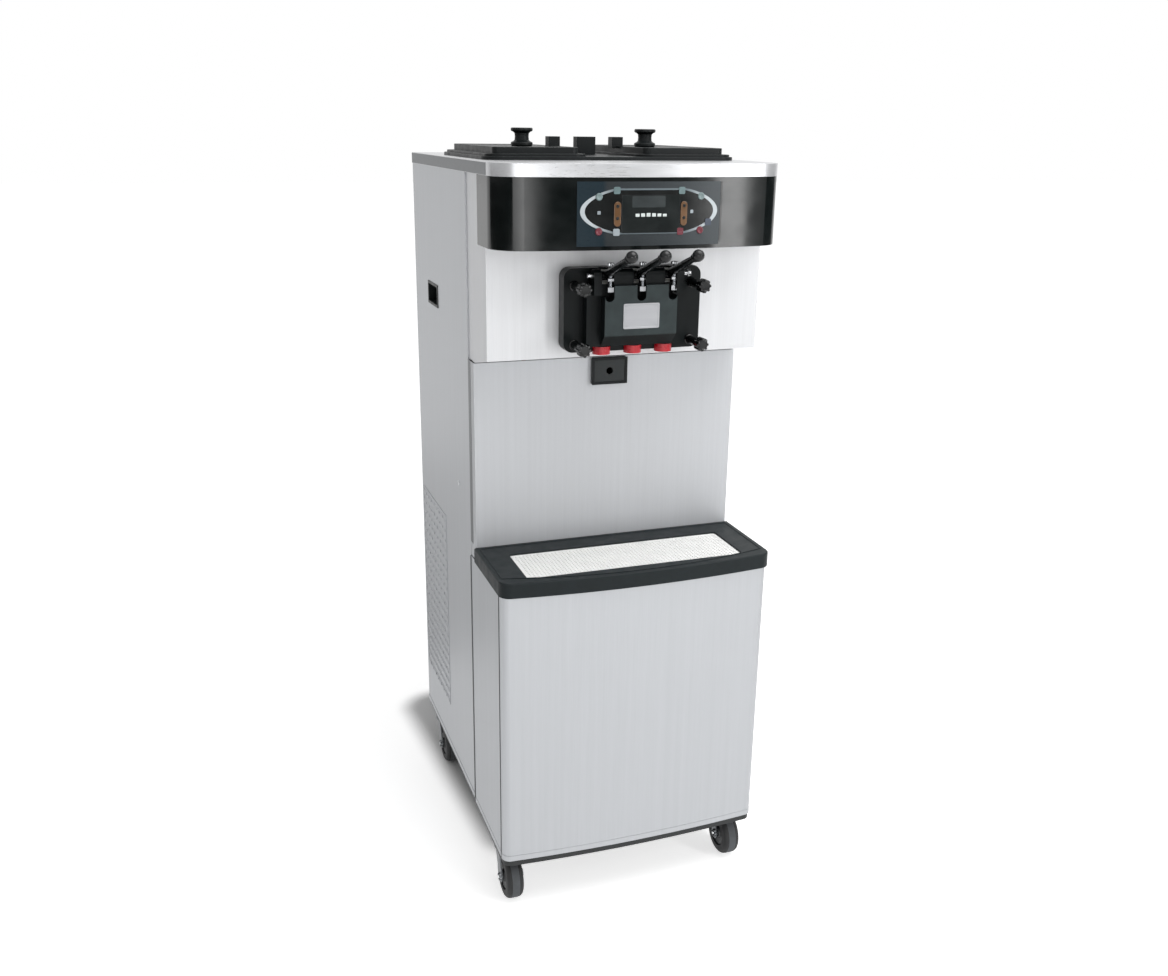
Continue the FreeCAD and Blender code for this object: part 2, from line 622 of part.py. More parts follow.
def drip_drawer():
    """Long narrow pan with a square front and a finger hole."""
    half, z0, z1 = drawer_opening()
    front = rounded_box(-DRAWER_WIDTH / 2, DRAWER_WIDTH / 2, FRONT_Y - DRAWER_FRONT, FRONT_Y,
                        DRAWER_BOTTOM, DRAWER_TOP, DRAWER_MARGIN, (0, 1, 0))
    pan = box(-half + SLIP, half - SLIP, FRONT_Y, FRONT_Y + DRAWER_LENGTH, z0 + SLIP, z1 - SLIP)
    hollow = box(-half + SLIP + DRAWER_WALL, half - SLIP - DRAWER_WALL, FRONT_Y + DRAWER_WALL,
                 FRONT_Y + DRAWER_LENGTH - DRAWER_WALL, z0 + SLIP + DRAWER_WALL, DECK_TOP)
    finger = rod((0, FRONT_Y - 2 * DRAWER_FRONT, (DRAWER_BOTTOM + DRAWER_TOP) / 2), (0, 1, 0),
                 FINGER_HOLE_R, 3 * DRAWER_FRONT)
    return cut(fuse([front, pan]), [hollow, finger])


def box_prism(grow, back_y, z0, z1):
    """Lower box's outline, grown by a distance all round its front."""
    return bowed_prism(BOX_HALF + grow, back_y, FRONT_Y - BOX_REACH, BOX_BOW + grow,
                       BOX_CORNER_R + grow, z0, z1)


def lower_box_panel():
    """Bowed lower skin with side walls and the ledge that the drip tray sits on."""
    back = SEAM_Y - SEAM
    skin = box_prism(0, back, FLOOR_GAP, TRAY_BOTTOM)
    hollow = box_prism(-SHEET, SEAM_Y + SEAM, FLOOR_GAP - SHEET, TRAY_BOTTOM - SHEET)
    half = BOX_HALF - BOX_LEDGE
    front = FRONT_Y - BOX_REACH - BOX_BOW + 3 * BOX_LEDGE
    mouth = box(-half, half, front, SEAM_Y, TRAY_BOTTOM - 2 * SHEET, DECK_TOP)
    wide = BOX_HALF - SHEET
    panel_room = box(-wide, wide, FRONT_Y - SEAM, SEAM_Y, TRAY_BOTTOM - 2 * SHEET, DECK_TOP)
    return cut(skin, [hollow, mouth, panel_room])


def drip_tray():
    """Bowed drip tray: a moulded frame with a well, and a ledge round the well for the grille."""
    body = bowed_prism(TRAY_HALF, FRONT_Y - SEAM, FRONT_Y - BOX_REACH - TRAY_LIP, TRAY_BOW, TRAY_CORNER_R,
                       TRAY_BOTTOM, TRAY_TOP)
    back = FRONT_Y - WELL_BACK
    front = back - WELL_DEPTH
    half = WELL_HALF
    seat = TRAY_TOP - GRILLE_RECESS - GRILLE
    top = rounded_box(-half, half, front, back, seat, TRAY_TOP + GRILLE, GRILLE_LEDGE, (0, 0, 1))
    well = box(-half + GRILLE_LEDGE, half - GRILLE_LEDGE, front + GRILLE_LEDGE, back - GRILLE_LEDGE,
               TRAY_BOTTOM + TRAY_FLOOR, TRAY_TOP)
    rim = [edge for edge in body.Edges if edge.BoundBox.ZMin > TRAY_TOP - SHEET
           and edge.BoundBox.YMin < FRONT_Y - TRAY_FLOOR]
    return cut(body.makeFillet(TRAY_FLOOR, rim), [top, well])


def splash_grille():
    """Perforated plate that lies on the ledge of the drip tray's well."""
    back = FRONT_Y - WELL_BACK - SLIP
    front = FRONT_Y - WELL_BACK - WELL_DEPTH + SLIP
    half = WELL_HALF - SLIP
    seat = TRAY_TOP - GRILLE_RECESS - GRILLE
    plate = rounded_box(-half, half, front, back, seat, seat + GRILLE, GRILLE_LEDGE, (0, 0, 1))
    columns = int((2 * WELL_HALF - 2 * GRILLE_LEDGE) // GRILLE_PITCH)
    rows = int((WELL_DEPTH - 2 * GRILLE_LEDGE) // GRILLE_PITCH)
    middle = (front + back) / 2
    holes = []
    for column in range(columns):
        x = (column - (columns - 1) / 2) * GRILLE_PITCH
        for row in range(rows):
            y = middle + (row - (rows - 1) / 2) * GRILLE_PITCH
            holes.append(box(x - GRILLE_HOLE / 2, x + GRILLE_HOLE / 2, y - GRILLE_HOLE / 2,
                             y + GRILLE_HOLE / 2, seat - GRILLE, seat + 2 * GRILLE))
    return cut(plate, holes)


def hand_screw_places():
    """Hand screws that hold the freezer door, two on each side."""
    return [(side * HAND_SCREW_X, z) for side in SIDES.values()
            for z in (DOOR_Z - HAND_SCREW_BELOW, DOOR_Z + HAND_SCREW_ABOVE)]


def head_shell():
    """Stainless head: front panel, sides and sloped underside, with the cylinder openings."""
    rear = SEAM_Y - SEAM / 2
    outline = [(HEAD_Y, HEAD_FRONT_BOTTOM), (FRONT_Y, HEAD_REAR_BOTTOM), (rear, HEAD_REAR_BOTTOM),
               (rear, DECK_UNDER), (HEAD_Y, DECK_UNDER)]
    shell = prism([(-HEAD_HALF, y, z) for y, z in outline], (2 * HEAD_HALF, 0, 0))
    inner = [(HEAD_Y + SHEET, HEAD_FRONT_BOTTOM + SHEET), (FRONT_Y, HEAD_REAR_BOTTOM + SHEET),
             (FRONT_Y, HEAD_REAR_BOTTOM - SHEET), (rear + SHEET, HEAD_REAR_BOTTOM - SHEET),
             (rear + SHEET, DECK_TOP), (HEAD_Y + SHEET, DECK_TOP)]
    half = HEAD_HALF - SHEET
    hollow = prism([(-half, y, z) for y, z in inner], (2 * half, 0, 0))
    cuts = [hollow]
    for side in SIDES.values():
        cuts.append(rod((side * CYLINDER_X, HEAD_Y - SHEET, DOOR_Z), (0, 1, 0),
                        CYLINDER_BORE_R + CYLINDER_WALL + SLIP, 3 * SHEET))
    for x, z in hand_screw_places():
        cuts.append(rod((x, HEAD_Y - SHEET, z), (0, 1, 0), HAND_SCREW_R, 3 * SHEET))
    return cut(shell, cuts)


def top_deck():
    """Stainless top with its trim edge and the two hopper openings."""
    grow = TRIM_PROUD
    deck = fascia_prism(grow, REAR_Y, SKIN_TOP, DECK_TOP)
    hollow = fascia_prism(grow - SHEET, REAR_Y - SHEET, SKIN_TOP - SHEET, DECK_UNDER)
    mouths = []
    y0, y1 = hopper_ends()
    for side in SIDES.values():
        x0, x1 = sorted((side * (HOPPER_INNER_X + SHEET), side * (HOPPER_OUTER_X - SHEET)))
        mouths.append(rounded_box(x0, x1, y0 + SHEET, y1 - SHEET, SKIN_TOP, DECK_TOP + SHEET,
                                  HOPPER_CORNER_R - SHEET, (0, 0, 1)))
    return cut(deck, [hollow] + mouths)


def control_fascia():
    """Bowed control band with a lower lip that meets the head panel, and holes for the keys."""
    band = fascia_prism(0, FASCIA_CORNER_Y + FASCIA_SIDE, FASCIA_BOTTOM, SKIN_TOP)
    hollow = fascia_prism(-FASCIA_WALL, REAR_Y, FASCIA_BOTTOM + FASCIA_WALL, DECK_TOP)
    half = FASCIA_HALF - FASCIA_WALL
    head_room = box(-half, half, HEAD_Y, REAR_Y, FASCIA_BOTTOM - FASCIA_WALL, DECK_TOP)
    holes = [key_hole(x, z) for x, z in key_places().values()]
    return cut(band, [hollow, head_room] + holes)


def key_places():
    """Push keys beside the display, by name."""
    places = {}
    for side, sign in SIDES.items():
        places[f"key_{side}_top"] = (sign * KEY_X, FASCIA_Z + KEY_SPACING / 2)
        places[f"key_{side}_bottom"] = (sign * KEY_X, FASCIA_Z - KEY_SPACING / 2)
    return places


def key_hole(x, z):
    """Clearance hole for a push key."""
    return rod((x, fascia_y(x) - 2 * FASCIA_WALL, z), (0, 1, 0), KEY_R + SLIP, 4 * FASCIA_WALL)


def push_key(x, z):
    """Round push key with a retaining flange behind the band."""
    front = fascia_y(x) - OVERLAY - KEY_PROUD
    seat = fascia_y(x - KEY_R - KEY_FLANGE if x < 0 else x + KEY_R + KEY_FLANGE) + FASCIA_WALL + SLIP
    cap = rod((x, front, z), (0, 1, 0), KEY_R, seat - front)
    flange = rod((x, seat, z), (0, 1, 0), KEY_R + KEY_FLANGE, KEY_FLANGE)
    return fuse([cap, flange])


def overlay_layer(inner, outer, tools):
    """Layer that follows the control band's face, kept only inside the given tools."""
    low, high = FASCIA_BOTTOM, SKIN_TOP
    back = FASCIA_CORNER_Y + SHEET
    layer = fascia_prism(outer, back, low, high)
    layer = layer.cut(fascia_prism(inner + RUN, back + SHEET, low - SHEET, high + SHEET))
    return [layer.common(tool).Solids[0] for tool in tools]


def control_overlay():
    """Thin overlay on the middle of the control band, with the key holes."""
    half = OVERLAY_WIDTH / 2
    area = box(-half, half, BLOCK_Y - 2 * FASCIA_BOW, FASCIA_CORNER_Y,
               FASCIA_BOTTOM + OVERLAY_MARGIN, SKIN_TOP - OVERLAY_MARGIN)
    layer = overlay_layer(ADHESIVE, OVERLAY, [area])[0]
    return cut(layer, [key_hole(x, z) for x, z in key_places().values()])


def display_window():
    """Display lens in the middle of the overlay."""
    half = WINDOW_WIDTH / 2
    area = box(-half, half, BLOCK_Y - 2 * FASCIA_BOW, FASCIA_CORNER_Y,
               FASCIA_Z - WINDOW_HEIGHT / 2, FASCIA_Z + WINDOW_HEIGHT / 2)
    return overlay_layer(OVERLAY, OVERLAY + WINDOW, [area])[0]


def indicator_lamps():
    """Capsule-shaped indicator lamps on both sides of the display."""
    radius = LAMP_WIDTH / 2
    straight = LAMP_HEIGHT / 2 - radius
    front = BLOCK_Y - 2 * FASCIA_BOW
    capsules = []
    for side in SIDES.values():
        x = side * LAMP_X
        middle = box(x - radius, x + radius, front, FASCIA_CORNER_Y, FASCIA_Z - straight,
                     FASCIA_Z + straight)
        ends = [rod((x, front, FASCIA_Z + end * straight), (0, 1, 0), radius, FASCIA_CORNER_Y - front)
                for end in (-1, 1)]
        capsules.append(fuse([middle] + ends))
    return overlay_layer(OVERLAY, OVERLAY + LAMP_PROUD, capsules)


def freezer_door():
    """Stepped door with valve bores, ports, spouts, pivot lugs and notches for the adjusting screws."""
    low = DOOR_Z - FLANGE_HEIGHT / 2
    flange = rounded_box(-FLANGE_WIDTH / 2, FLANGE_WIDTH / 2, FLANGE_Y, HEAD_Y, low,
                         low + FLANGE_HEIGHT, FLANGE_CORNER_R, (0, 1, 0))
    step = box(-STEP_WIDTH / 2, STEP_WIDTH / 2, STEP_Y, FLANGE_Y, BLOCK_BOTTOM, BLOCK_TOP)
    profile = [(STEP_Y, BLOCK_BOTTOM), (STEP_Y, BLOCK_TOP), (BLOCK_Y, BLOCK_TOP),
               (BLOCK_Y, BLOCK_BOTTOM + BLOCK_BEVEL), (BLOCK_Y + BLOCK_BEVEL - SEAM, BLOCK_BOTTOM)]
    block = prism([(-BLOCK_WIDTH / 2, y, z) for y, z in profile], (BLOCK_WIDTH, 0, 0))
    cap_top = SPOUT_BOTTOM - CAP_DROP + CAP_HEIGHT
    cap_rooms = [rod((x, VALVE_Y, 0), (0, 0, 1), CAP_R + SLIP, cap_top + SLIP) for x in SPOUTS.values()]
    solids = [cut(fuse([flange, step, block]), cap_rooms)] + pivot_lugs()
    cuts = [rod((-DECK_TOP / 2, PIVOT_Y, PIVOT_Z), (1, 0, 0), PIVOT_R + RUN, DECK_TOP)]
    notch_back = VALVE_Y - VALVE_R - NOTCH_WALL
    for x in SPOUTS.values():
        solids.append(rod((x, VALVE_Y, SPOUT_BOTTOM), (0, 0, 1), SPOUT_R,
                          BLOCK_BOTTOM - SPOUT_BOTTOM + SEAM))
        cuts.append(rod((x, VALVE_Y, 0), (0, 0, 1), VALVE_R, DECK_TOP))
        radius = NOTCH_WIDTH / 2
        cuts.append(box(x - radius, x + radius, BLOCK_Y - SHEET, notch_back, NOTCH_BOTTOM + radius, DECK_TOP))
        cuts.append(rod((x, BLOCK_Y - SHEET, NOTCH_BOTTOM + radius), (0, 1, 0), radius,
                        notch_back - BLOCK_Y + SHEET))
    for x, z in hand_screw_places():
        cuts.append(rod((x, BLOCK_Y, z), (0, 1, 0), HAND_SCREW_R + SLIP, HEAD_Y - BLOCK_Y + SHEET))
    cuts += ports() + gasket_grooves()
    return cut(fuse(solids), cuts)


def pivot_lugs():
    """Lugs that hold the pivot pin on both sides of each handle."""
    half_hub = HUB_WIDTH / 2 + LUG_GAP
    outer = VALVE_SPACING + half_hub
    spans = [(half_hub, VALVE_SPACING - half_hub), (outer, outer + OUTER_LUG)]
    lugs = []
    for side in SIDES.values():
        for x0, x1 in spans:
            lugs.append(side_box(side, x0, x1, PIVOT_Y - LUG_R, PIVOT_Y + LUG_R, BLOCK_TOP, PIVOT_Z))
            lugs.append(rod((min(side * x0, side * x1), PIVOT_Y, PIVOT_Z), (1, 0, 0), LUG_R, x1 - x0))
        x0, x1 = spans[1]
        lugs.append(side_box(side, x0, x1, PIVOT_Y - LUG_R, STEP_Y, BLOCK_TOP - NOTCH_WIDTH, BLOCK_TOP))
    return lugs


def ports():
    """Passages from the freezing cylinders to the valve bores: one each outside, two in the middle."""
    passages = []
    for side in SIDES.values():
        inside_x = side * (CYLINDER_X - CYLINDER_BORE_R / 4)
        middle_x = side * (CYLINDER_X - CYLINDER_BORE_R * 0.6)
        starts = [(inside_x, DOOR_Z - CYLINDER_BORE_R * 0.7, side * VALVE_SPACING, PORT_R),
                  (middle_x, DOOR_Z - CYLINDER_BORE_R * 0.45, 0.0, PORT_R - SEAM)]
        for x, z, valve_x, radius in starts:
            start = Vector(x, HEAD_Y + SHEET, z)
            run = Vector(valve_x, VALVE_Y, PORT_Z) - start
            passages.append(Part.makeCylinder(radius, run.Length, start, run))
    return passages


def gasket_mid_r():
    """Radius of the door gaskets, on the middle of the cylinder's front rim."""
    return CYLINDER_BORE_R + CYLINDER_WALL / 2


def gasket_grooves():
    """Grooves in the door's rear face for the two gaskets."""
    grooves = []
    for side in SIDES.values():
        start = (side * CYLINDER_X, HEAD_Y - 2 * GASKET_R, DOOR_Z)
        outer = rod(start, (0, 1, 0), gasket_mid_r() + GASKET_R + RUN, 2 * GASKET_R)
        inner = rod(start, (0, 1, 0), gasket_mid_r() - GASKET_R - RUN, 2 * GASKET_R)
        grooves.append(outer.cut(inner))
    return grooves


def door_gaskets():
    """Round-section gasket between each freezing cylinder and the door."""
    return [Part.makeTorus(gasket_mid_r(), GASKET_R, Vector(side * CYLINDER_X, HEAD_Y - GASKET_R, DOOR_Z),
                           Vector(0, 1, 0)) for side in SIDES.values()]


def hand_screws():
    """Fluted hand screws: knob, neck on the door's flange, and shank into the head panel."""
    screws = []
    knob_y = FLANGE_Y - HAND_SCREW_NECK - HAND_SCREW_KNOB
    for x, z in hand_screw_places():
        knob = rod((x, knob_y, z), (0, 1, 0), HAND_SCREW_KNOB_R, HAND_SCREW_KNOB)
        flutes = []
        for index in range(8):
            angle = math.radians(45 * index)
            flutes.append(rod((x + (HAND_SCREW_KNOB_R + SHEET) * math.cos(angle), knob_y - SHEET,
                               z + (HAND_SCREW_KNOB_R + SHEET) * math.sin(angle)), (0, 1, 0),
                              2 * SHEET, HAND_SCREW_KNOB + 2 * SHEET))
        neck = rod((x, FLANGE_Y - HAND_SCREW_NECK, z), (0, 1, 0), HAND_SCREW_NECK_R, HAND_SCREW_NECK)
        shank = rod((x, FLANGE_Y, z), (0, 1, 0), HAND_SCREW_R, FLANGE_DEPTH + 5 * SHEET)
        screws.append(fuse([cut(knob, flutes), neck, shank]))
    return screws


def pivot_pin():
    """Pin through the lugs and the three handles, with a round head at its right end."""
    pin = rod((-PIVOT_HALF_LENGTH, PIVOT_Y, PIVOT_Z), (1, 0, 0), PIVOT_R, 2 * PIVOT_HALF_LENGTH)
    head = rod((PIVOT_HALF_LENGTH, PIVOT_Y, PIVOT_Z), (1, 0, 0), PIVOT_HEAD_R, PIVOT_HEAD)
    return fuse([pin, head])


def draw_handle(x):
    """Lever on the pivot pin: ball-ended arm in front, and the toe that lifts the valve behind."""
    hub = rod((x - HUB_WIDTH / 2, PIVOT_Y, PIVOT_Z), (1, 0, 0), HUB_R, HUB_WIDTH)
    arm_run = Vector(0, -HANDLE_RUN, HANDLE_RISE)
    pivot = Vector(x, PIVOT_Y, PIVOT_Z)
    arm = Part.makeCone(HANDLE_ROOT_R, HANDLE_TIP_R, HANDLE_LENGTH, pivot, arm_run)
    ball = Part.makeSphere(BALL_R, pivot + arm_run)
    toe_run = Vector(0, TOE_RUN, -TOE_DROP)
    toe_arm = Part.makeCylinder(TOE_ARM_R, TOE_LENGTH, pivot, toe_run)
    toe = rod((x - TOE_R, PIVOT_Y + TOE_RUN, PIVOT_Z - TOE_DROP), (1, 0, 0), TOE_R, 2 * TOE_R)
    pin_hole = rod((x - HUB_WIDTH, PIVOT_Y, PIVOT_Z), (1, 0, 0), PIVOT_R + RUN, 2 * HUB_WIDTH)
    screw_hole = rod((x, ADJUSTER_Y, ADJUSTER_BOTTOM), (0, 0, 1), ADJUSTER_R + RUN, DECK_TOP)
    return cut(fuse([hub, arm, ball, toe_arm, toe]), [pin_hole, screw_hole])


def adjusting_screw(x):
    """Upright screw through the handle's root that sets how far the handle can be pulled."""
    slope = math.radians(HANDLE_ANGLE)
    mid_z = PIVOT_Z + ADJUSTER_REACH * math.tan(slope)
    half = (HANDLE_ROOT_R + ADJUSTER_NUT_R * math.sin(slope)) / math.cos(slope)
    top = mid_z + half + ADJUSTER_NUT
    shank = rod((x, ADJUSTER_Y, ADJUSTER_BOTTOM), (0, 0, 1), ADJUSTER_R, top - ADJUSTER_BOTTOM)
    head = rod((x, ADJUSTER_Y, mid_z + half), (0, 0, 1), ADJUSTER_NUT_R, ADJUSTER_NUT)
    lock_nut = rod((x, ADJUSTER_Y, mid_z - half - ADJUSTER_NUT), (0, 0, 1), ADJUSTER_NUT_R, ADJUSTER_NUT)
    foot = rod((x, ADJUSTER_Y, ADJUSTER_BOTTOM), (0, 0, 1), ADJUSTER_NUT_R, ADJUSTER_FOOT)
    return fuse([shank, head, lock_nut, foot])


def draw_valve(x):
    """Plunger that closes the spout, notched near its top for the handle's toe."""
    toe_z = PIVOT_Z - TOE_DROP
    plunger = rod((x, VALVE_Y, VALVE_BOTTOM), (0, 0, 1), VALVE_R - RUN, VALVE_TOP - VALVE_BOTTOM)
    seat = TOE_R + 3 * SLIP
    mouth = TOE_R + TOE_ARM_R + 5 * SLIP
    back = VALVE_Y + seat + TOE_LENGTH - TOE_RUN
    low_x, high_x = x - VALVE_R, x + VALVE_R
    front = VALVE_Y - VALVE_R
    inner = box(low_x, high_x, front, back, toe_z - seat, toe_z + seat)
    outer = box(low_x, high_x, front, VALVE_Y - seat + SLIP, toe_z - mouth, toe_z + mouth)
    return cut(plunger, [inner, outer])


def spout_cap(x):
    """Cap pressed on a spout, with the star-shaped opening that shapes the product."""
    low = SPOUT_BOTTOM - CAP_DROP
    cup = rod((x, VALVE_Y, low), (0, 0, 1), CAP_R, CAP_HEIGHT)
    socket = rod((x, VALVE_Y, SPOUT_BOTTOM - SEAM), (0, 0, 1), SPOUT_R + RUN, CAP_HEIGHT)
    throat = rod((x, VALVE_Y, low + CAP_FLOOR), (0, 0, 1), VALVE_R, CAP_HEIGHT)
    star = []
    for index in range(12):
        radius = VALVE_R if index % 2 else VALVE_R / 2
        angle = math.radians(30 * index)
        star.append((x + radius * math.cos(angle), VALVE_Y + radius * math.sin(angle), low - SEAM))
    return cut(cup, [socket, throat, prism(star, (0, 0, CAP_HEIGHT))])


def freezing_cylinder(side):
    """Jacketed freezing cylinder with its rear wall, shaft hole and mix inlet."""
    x = side * CYLINDER_X
    axis = (0, 1, 0)
    outer_r = CYLINDER_BORE_R + CYLINDER_WALL
    tube = rod((x, HEAD_Y, DOOR_Z), axis, outer_r, CYLINDER_LENGTH)
    jacket = rod((x, HEAD_Y + JACKET_SETBACK, DOOR_Z), axis, JACKET_R, CYLINDER_LENGTH - JACKET_SETBACK)
    inlet = rod((x, INLET_Y, DOOR_Z), (0, 0, 1), INLET_R + INLET_WALL, HOPPER_BOTTOM - DOOR_Z)
    bore = rod((x, HEAD_Y - SHEET, DOOR_Z), axis, CYLINDER_BORE_R,
               CYLINDER_LENGTH - CYLINDER_REAR_WALL + SHEET)
    shaft = rod((x, HEAD_Y, DOOR_Z), axis, SHAFT_R + RUN, CYLINDER_LENGTH + SHEET)
    feed = rod((x, INLET_Y, DOOR_Z), (0, 0, 1), INLET_R, HOPPER_BOTTOM - DOOR_Z + SHEET)
    return cut(fuse([tube, jacket, inlet]), [bore, shaft, feed])


def beater(side):
    """Beater: drive shaft with spokes that carry two scraper bars along the cylinder."""
    x = side * CYLINDER_X
    front = HEAD_Y + BEATER_FRONT_GAP
    rear = CYLINDER_REAR_Y - CYLINDER_REAR_WALL - BEATER_FRONT_GAP
    shaft = rod((x, front, DOOR_Z), (0, 1, 0), SHAFT_R, CYLINDER_REAR_Y + SHAFT_ENGAGE - SEAM - front)
    half = BEATER_BAR / 2
    parts = [shaft]
    for end in (-1, 1):
        low, high = sorted((end * (BEATER_BAR_R - BEATER_BAR), end * BEATER_BAR_R))
        parts.append(box(x - half, x + half, front, rear, DOOR_Z + low, DOOR_Z + high))
    pitch = (rear - front - BEATER_BAR) / (BEATER_SPOKES - 1)
    reach = BEATER_BAR_R - half
    for index in range(BEATER_SPOKES):
        y = front + index * pitch
        parts.append(box(x - half, x + half, y, y + BEATER_BAR, DOOR_Z - reach, DOOR_Z + reach))
    return fuse(parts)


def gear_motors():
    """Reduction gearbox behind each cylinder, and the motor behind it."""
    solids = []
    for side in SIDES.values():
        x = side * CYLINDER_X
        half = GEARBOX / 2
        case = box(x - half, x + half, CYLINDER_REAR_Y, CYLINDER_REAR_Y + GEARBOX_DEPTH,
                   DOOR_Z - half, DOOR_Z + half)
        bore = rod((x, CYLINDER_REAR_Y - SHEET, DOOR_Z), (0, 1, 0), SHAFT_R + RUN, SHAFT_ENGAGE + SHEET)
        solids.append(cut(case, [bore]))
        solids.append(rod((x, CYLINDER_REAR_Y + GEARBOX_DEPTH, DOOR_Z), (0, 1, 0), MOTOR_R, MOTOR_LENGTH))
    return solids


def hopper_ends():
    """Front and rear of the hoppers."""
    front = HEAD_Y + HOPPER_FRONT
    return front, front + HOPPER_LENGTH


def mix_hoppers():
    """Open tubs hung below the deck, each with a rim and an outlet over its cylinder's inlet."""
    tubs = []
    y0, y1 = hopper_ends()
    for side in SIDES.values():
        x0, x1 = sorted((side * HOPPER_INNER_X, side * HOPPER_OUTER_X))
        tub = rounded_box(x0, x1, y0, y1, HOPPER_BOTTOM, DECK_UNDER, HOPPER_CORNER_R, (0, 0, 1))
        rim = rounded_box(x0 - HOPPER_RIM, x1 + HOPPER_RIM, y0 - HOPPER_RIM, y1 + HOPPER_RIM,
                          DECK_UNDER - SHEET, DECK_UNDER, HOPPER_CORNER_R + HOPPER_RIM, (0, 0, 1))
        hollow = rounded_box(x0 + SHEET, x1 - SHEET, y0 + SHEET, y1 - SHEET, HOPPER_BOTTOM + SHEET,
                             DECK_TOP, HOPPER_CORNER_R - SHEET, (0, 0, 1))
        outlet = rod((side * CYLINDER_X, INLET_Y, HOPPER_BOTTOM - SHEET), (0, 0, 1), INLET_R, 3 * SHEET)
        tubs.append(cut(fuse([tub, rim]), [hollow, outlet]))
    return tubs


def feed_tubes():
    """Tubes that stand in the hopper outlets and meter mix and air into the cylinders."""
    tubes = []
    floor = HOPPER_BOTTOM + SHEET
    low = floor - FEED_TUBE_DEPTH
    for side in SIDES.values():
        x = side * CYLINDER_X
        outer = INLET_R - 2 * RUN
        tube = rod((x, INLET_Y, low), (0, 0, 1), outer, FEED_TUBE_TOP - low)
        collar = rod((x, INLET_Y, floor), (0, 0, 1), INLET_R + FEED_COLLAR, FEED_COLLAR)
        bore = rod((x, INLET_Y, low - SHEET), (0, 0, 1), outer - FEED_TUBE_WALL, DECK_TOP)
        tubes.append(cut(fuse([tube, collar]), [bore]))
    return tubes


def hopper_lid(side):
    """Insulated lid: flat edge, raised middle and a moulded lug at its inner end."""
    x0, x1 = sorted((side * LID_INNER_X, side * LID_OUTER_X))
    y0 = HEAD_Y + LID_FRONT
    y1 = y0 + LID_LENGTH
    plate = rounded_box(x0, x1, y0, y1, DECK_TOP, DECK_TOP + LID_PLATE, LID_CORNER_R, (0, 0, 1))
    plateau = rounded_box(x0 + LID_STEP, x1 - LID_STEP, y0 + LID_STEP, y1 - LID_STEP, DECK_TOP, LID_TOP,
                          LID_CORNER_R - LID_STEP / 2, (0, 0, 1))
    return fuse([plate, plateau, lid_block(side * LID_LUG_X, LID_LUG)])


def lid_block(x, width):
    """Upright block on the lids' middle line."""
    half = LID_LUG / 2
    return box(x - width / 2, x + width / 2, LID_MID_Y - half, LID_MID_Y + half, DECK_TOP,
               LID_TOP + LID_LUG_HEIGHT)


def lid_knob(side):
    """Spool-shaped knob on a lid."""
    x = side * KNOB_X
    foot = rod((x, LID_MID_Y, LID_TOP), (0, 0, 1), KNOB_R, KNOB_RIM)
    neck = rod((x, LID_MID_Y, LID_TOP), (0, 0, 1), KNOB_NECK_R, KNOB_HEIGHT)
    head = rod((x, LID_MID_Y, LID_TOP + KNOB_HEIGHT - KNOB_RIM), (0, 0, 1), KNOB_R, KNOB_RIM)
    return fuse([foot, neck, head])


def lid_spacer():
    """Block on the deck between the two lids."""
    return lid_block(0, SPACER_WIDTH)


def caster_fork(x, y):
    """Swivel fork with its stem, and the axle bolt between its plates."""
    disc_top = SOCKET_BOTTOM - SLIP
    disc_low = disc_top - FORK_DISC
    axle_y = y - CASTER_TRAIL
    inner = WHEEL_WIDTH / 2 + 5 * SLIP
    outer = inner + FORK_PLATE
    parts = [rod((x, y, disc_low), (0, 0, 1), FORK_DISC_R, FORK_DISC),
             rod((x, y, disc_low), (0, 0, 1), STEM_R, FORK_DISC + SLIP + STEM_LENGTH)]
    eye = 2.5 * AXLE_R
    root = disc_low + FORK_DISC / 2
    profile = [(y - FORK_DISC_R / 2, root), (y + FORK_DISC_R / 2, root), (axle_y + eye, WHEEL_R),
               (axle_y - eye, WHEEL_R)]
    for start in (x - outer, x + inner):
        parts.append(prism([(start, py, pz) for py, pz in profile], (FORK_PLATE, 0, 0)))
        parts.append(rod((start, axle_y, WHEEL_R), (1, 0, 0), eye, FORK_PLATE))
    hole = rod((x - 2 * outer, axle_y, WHEEL_R), (1, 0, 0), AXLE_R, 4 * outer)
    axle = rod((x - outer, axle_y, WHEEL_R), (1, 0, 0), AXLE_R, 2 * outer)
    heads = [rod((x + start, axle_y, WHEEL_R), (1, 0, 0), 1.6 * AXLE_R, FORK_PLATE)
             for start in (-outer - FORK_PLATE, outer)]
    return [cut(fuse(parts), [hole]), fuse([axle] + heads)]


def caster_wheel(x, y):
    """Wheel with rounded tread edges and dished sides."""
    axle_y = y - CASTER_TRAIL
    half = WHEEL_WIDTH / 2
    tread = rod((x - half, axle_y, WHEEL_R), (1, 0, 0), WHEEL_R, WHEEL_WIDTH)
    rims = [edge for edge in tread.Edges if edge.Closed]
    tread = tread.makeFillet(WHEEL_EDGE_R, rims)
    dish = WHEEL_R - 2 * WHEEL_EDGE_R
    cuts = [rod((x - WHEEL_WIDTH, axle_y, WHEEL_R), (1, 0, 0), AXLE_R + RUN, 2 * WHEEL_WIDTH)]
    for start in (-half, half - WHEEL_EDGE_R / 2):
        ring = rod((x + start, axle_y, WHEEL_R), (1, 0, 0), dish, WHEEL_EDGE_R / 2)
        cuts.append(ring.cut(rod((x + start, axle_y, WHEEL_R), (1, 0, 0), 2.5 * AXLE_R, WHEEL_EDGE_R / 2)))
    return cut(tread, cuts)


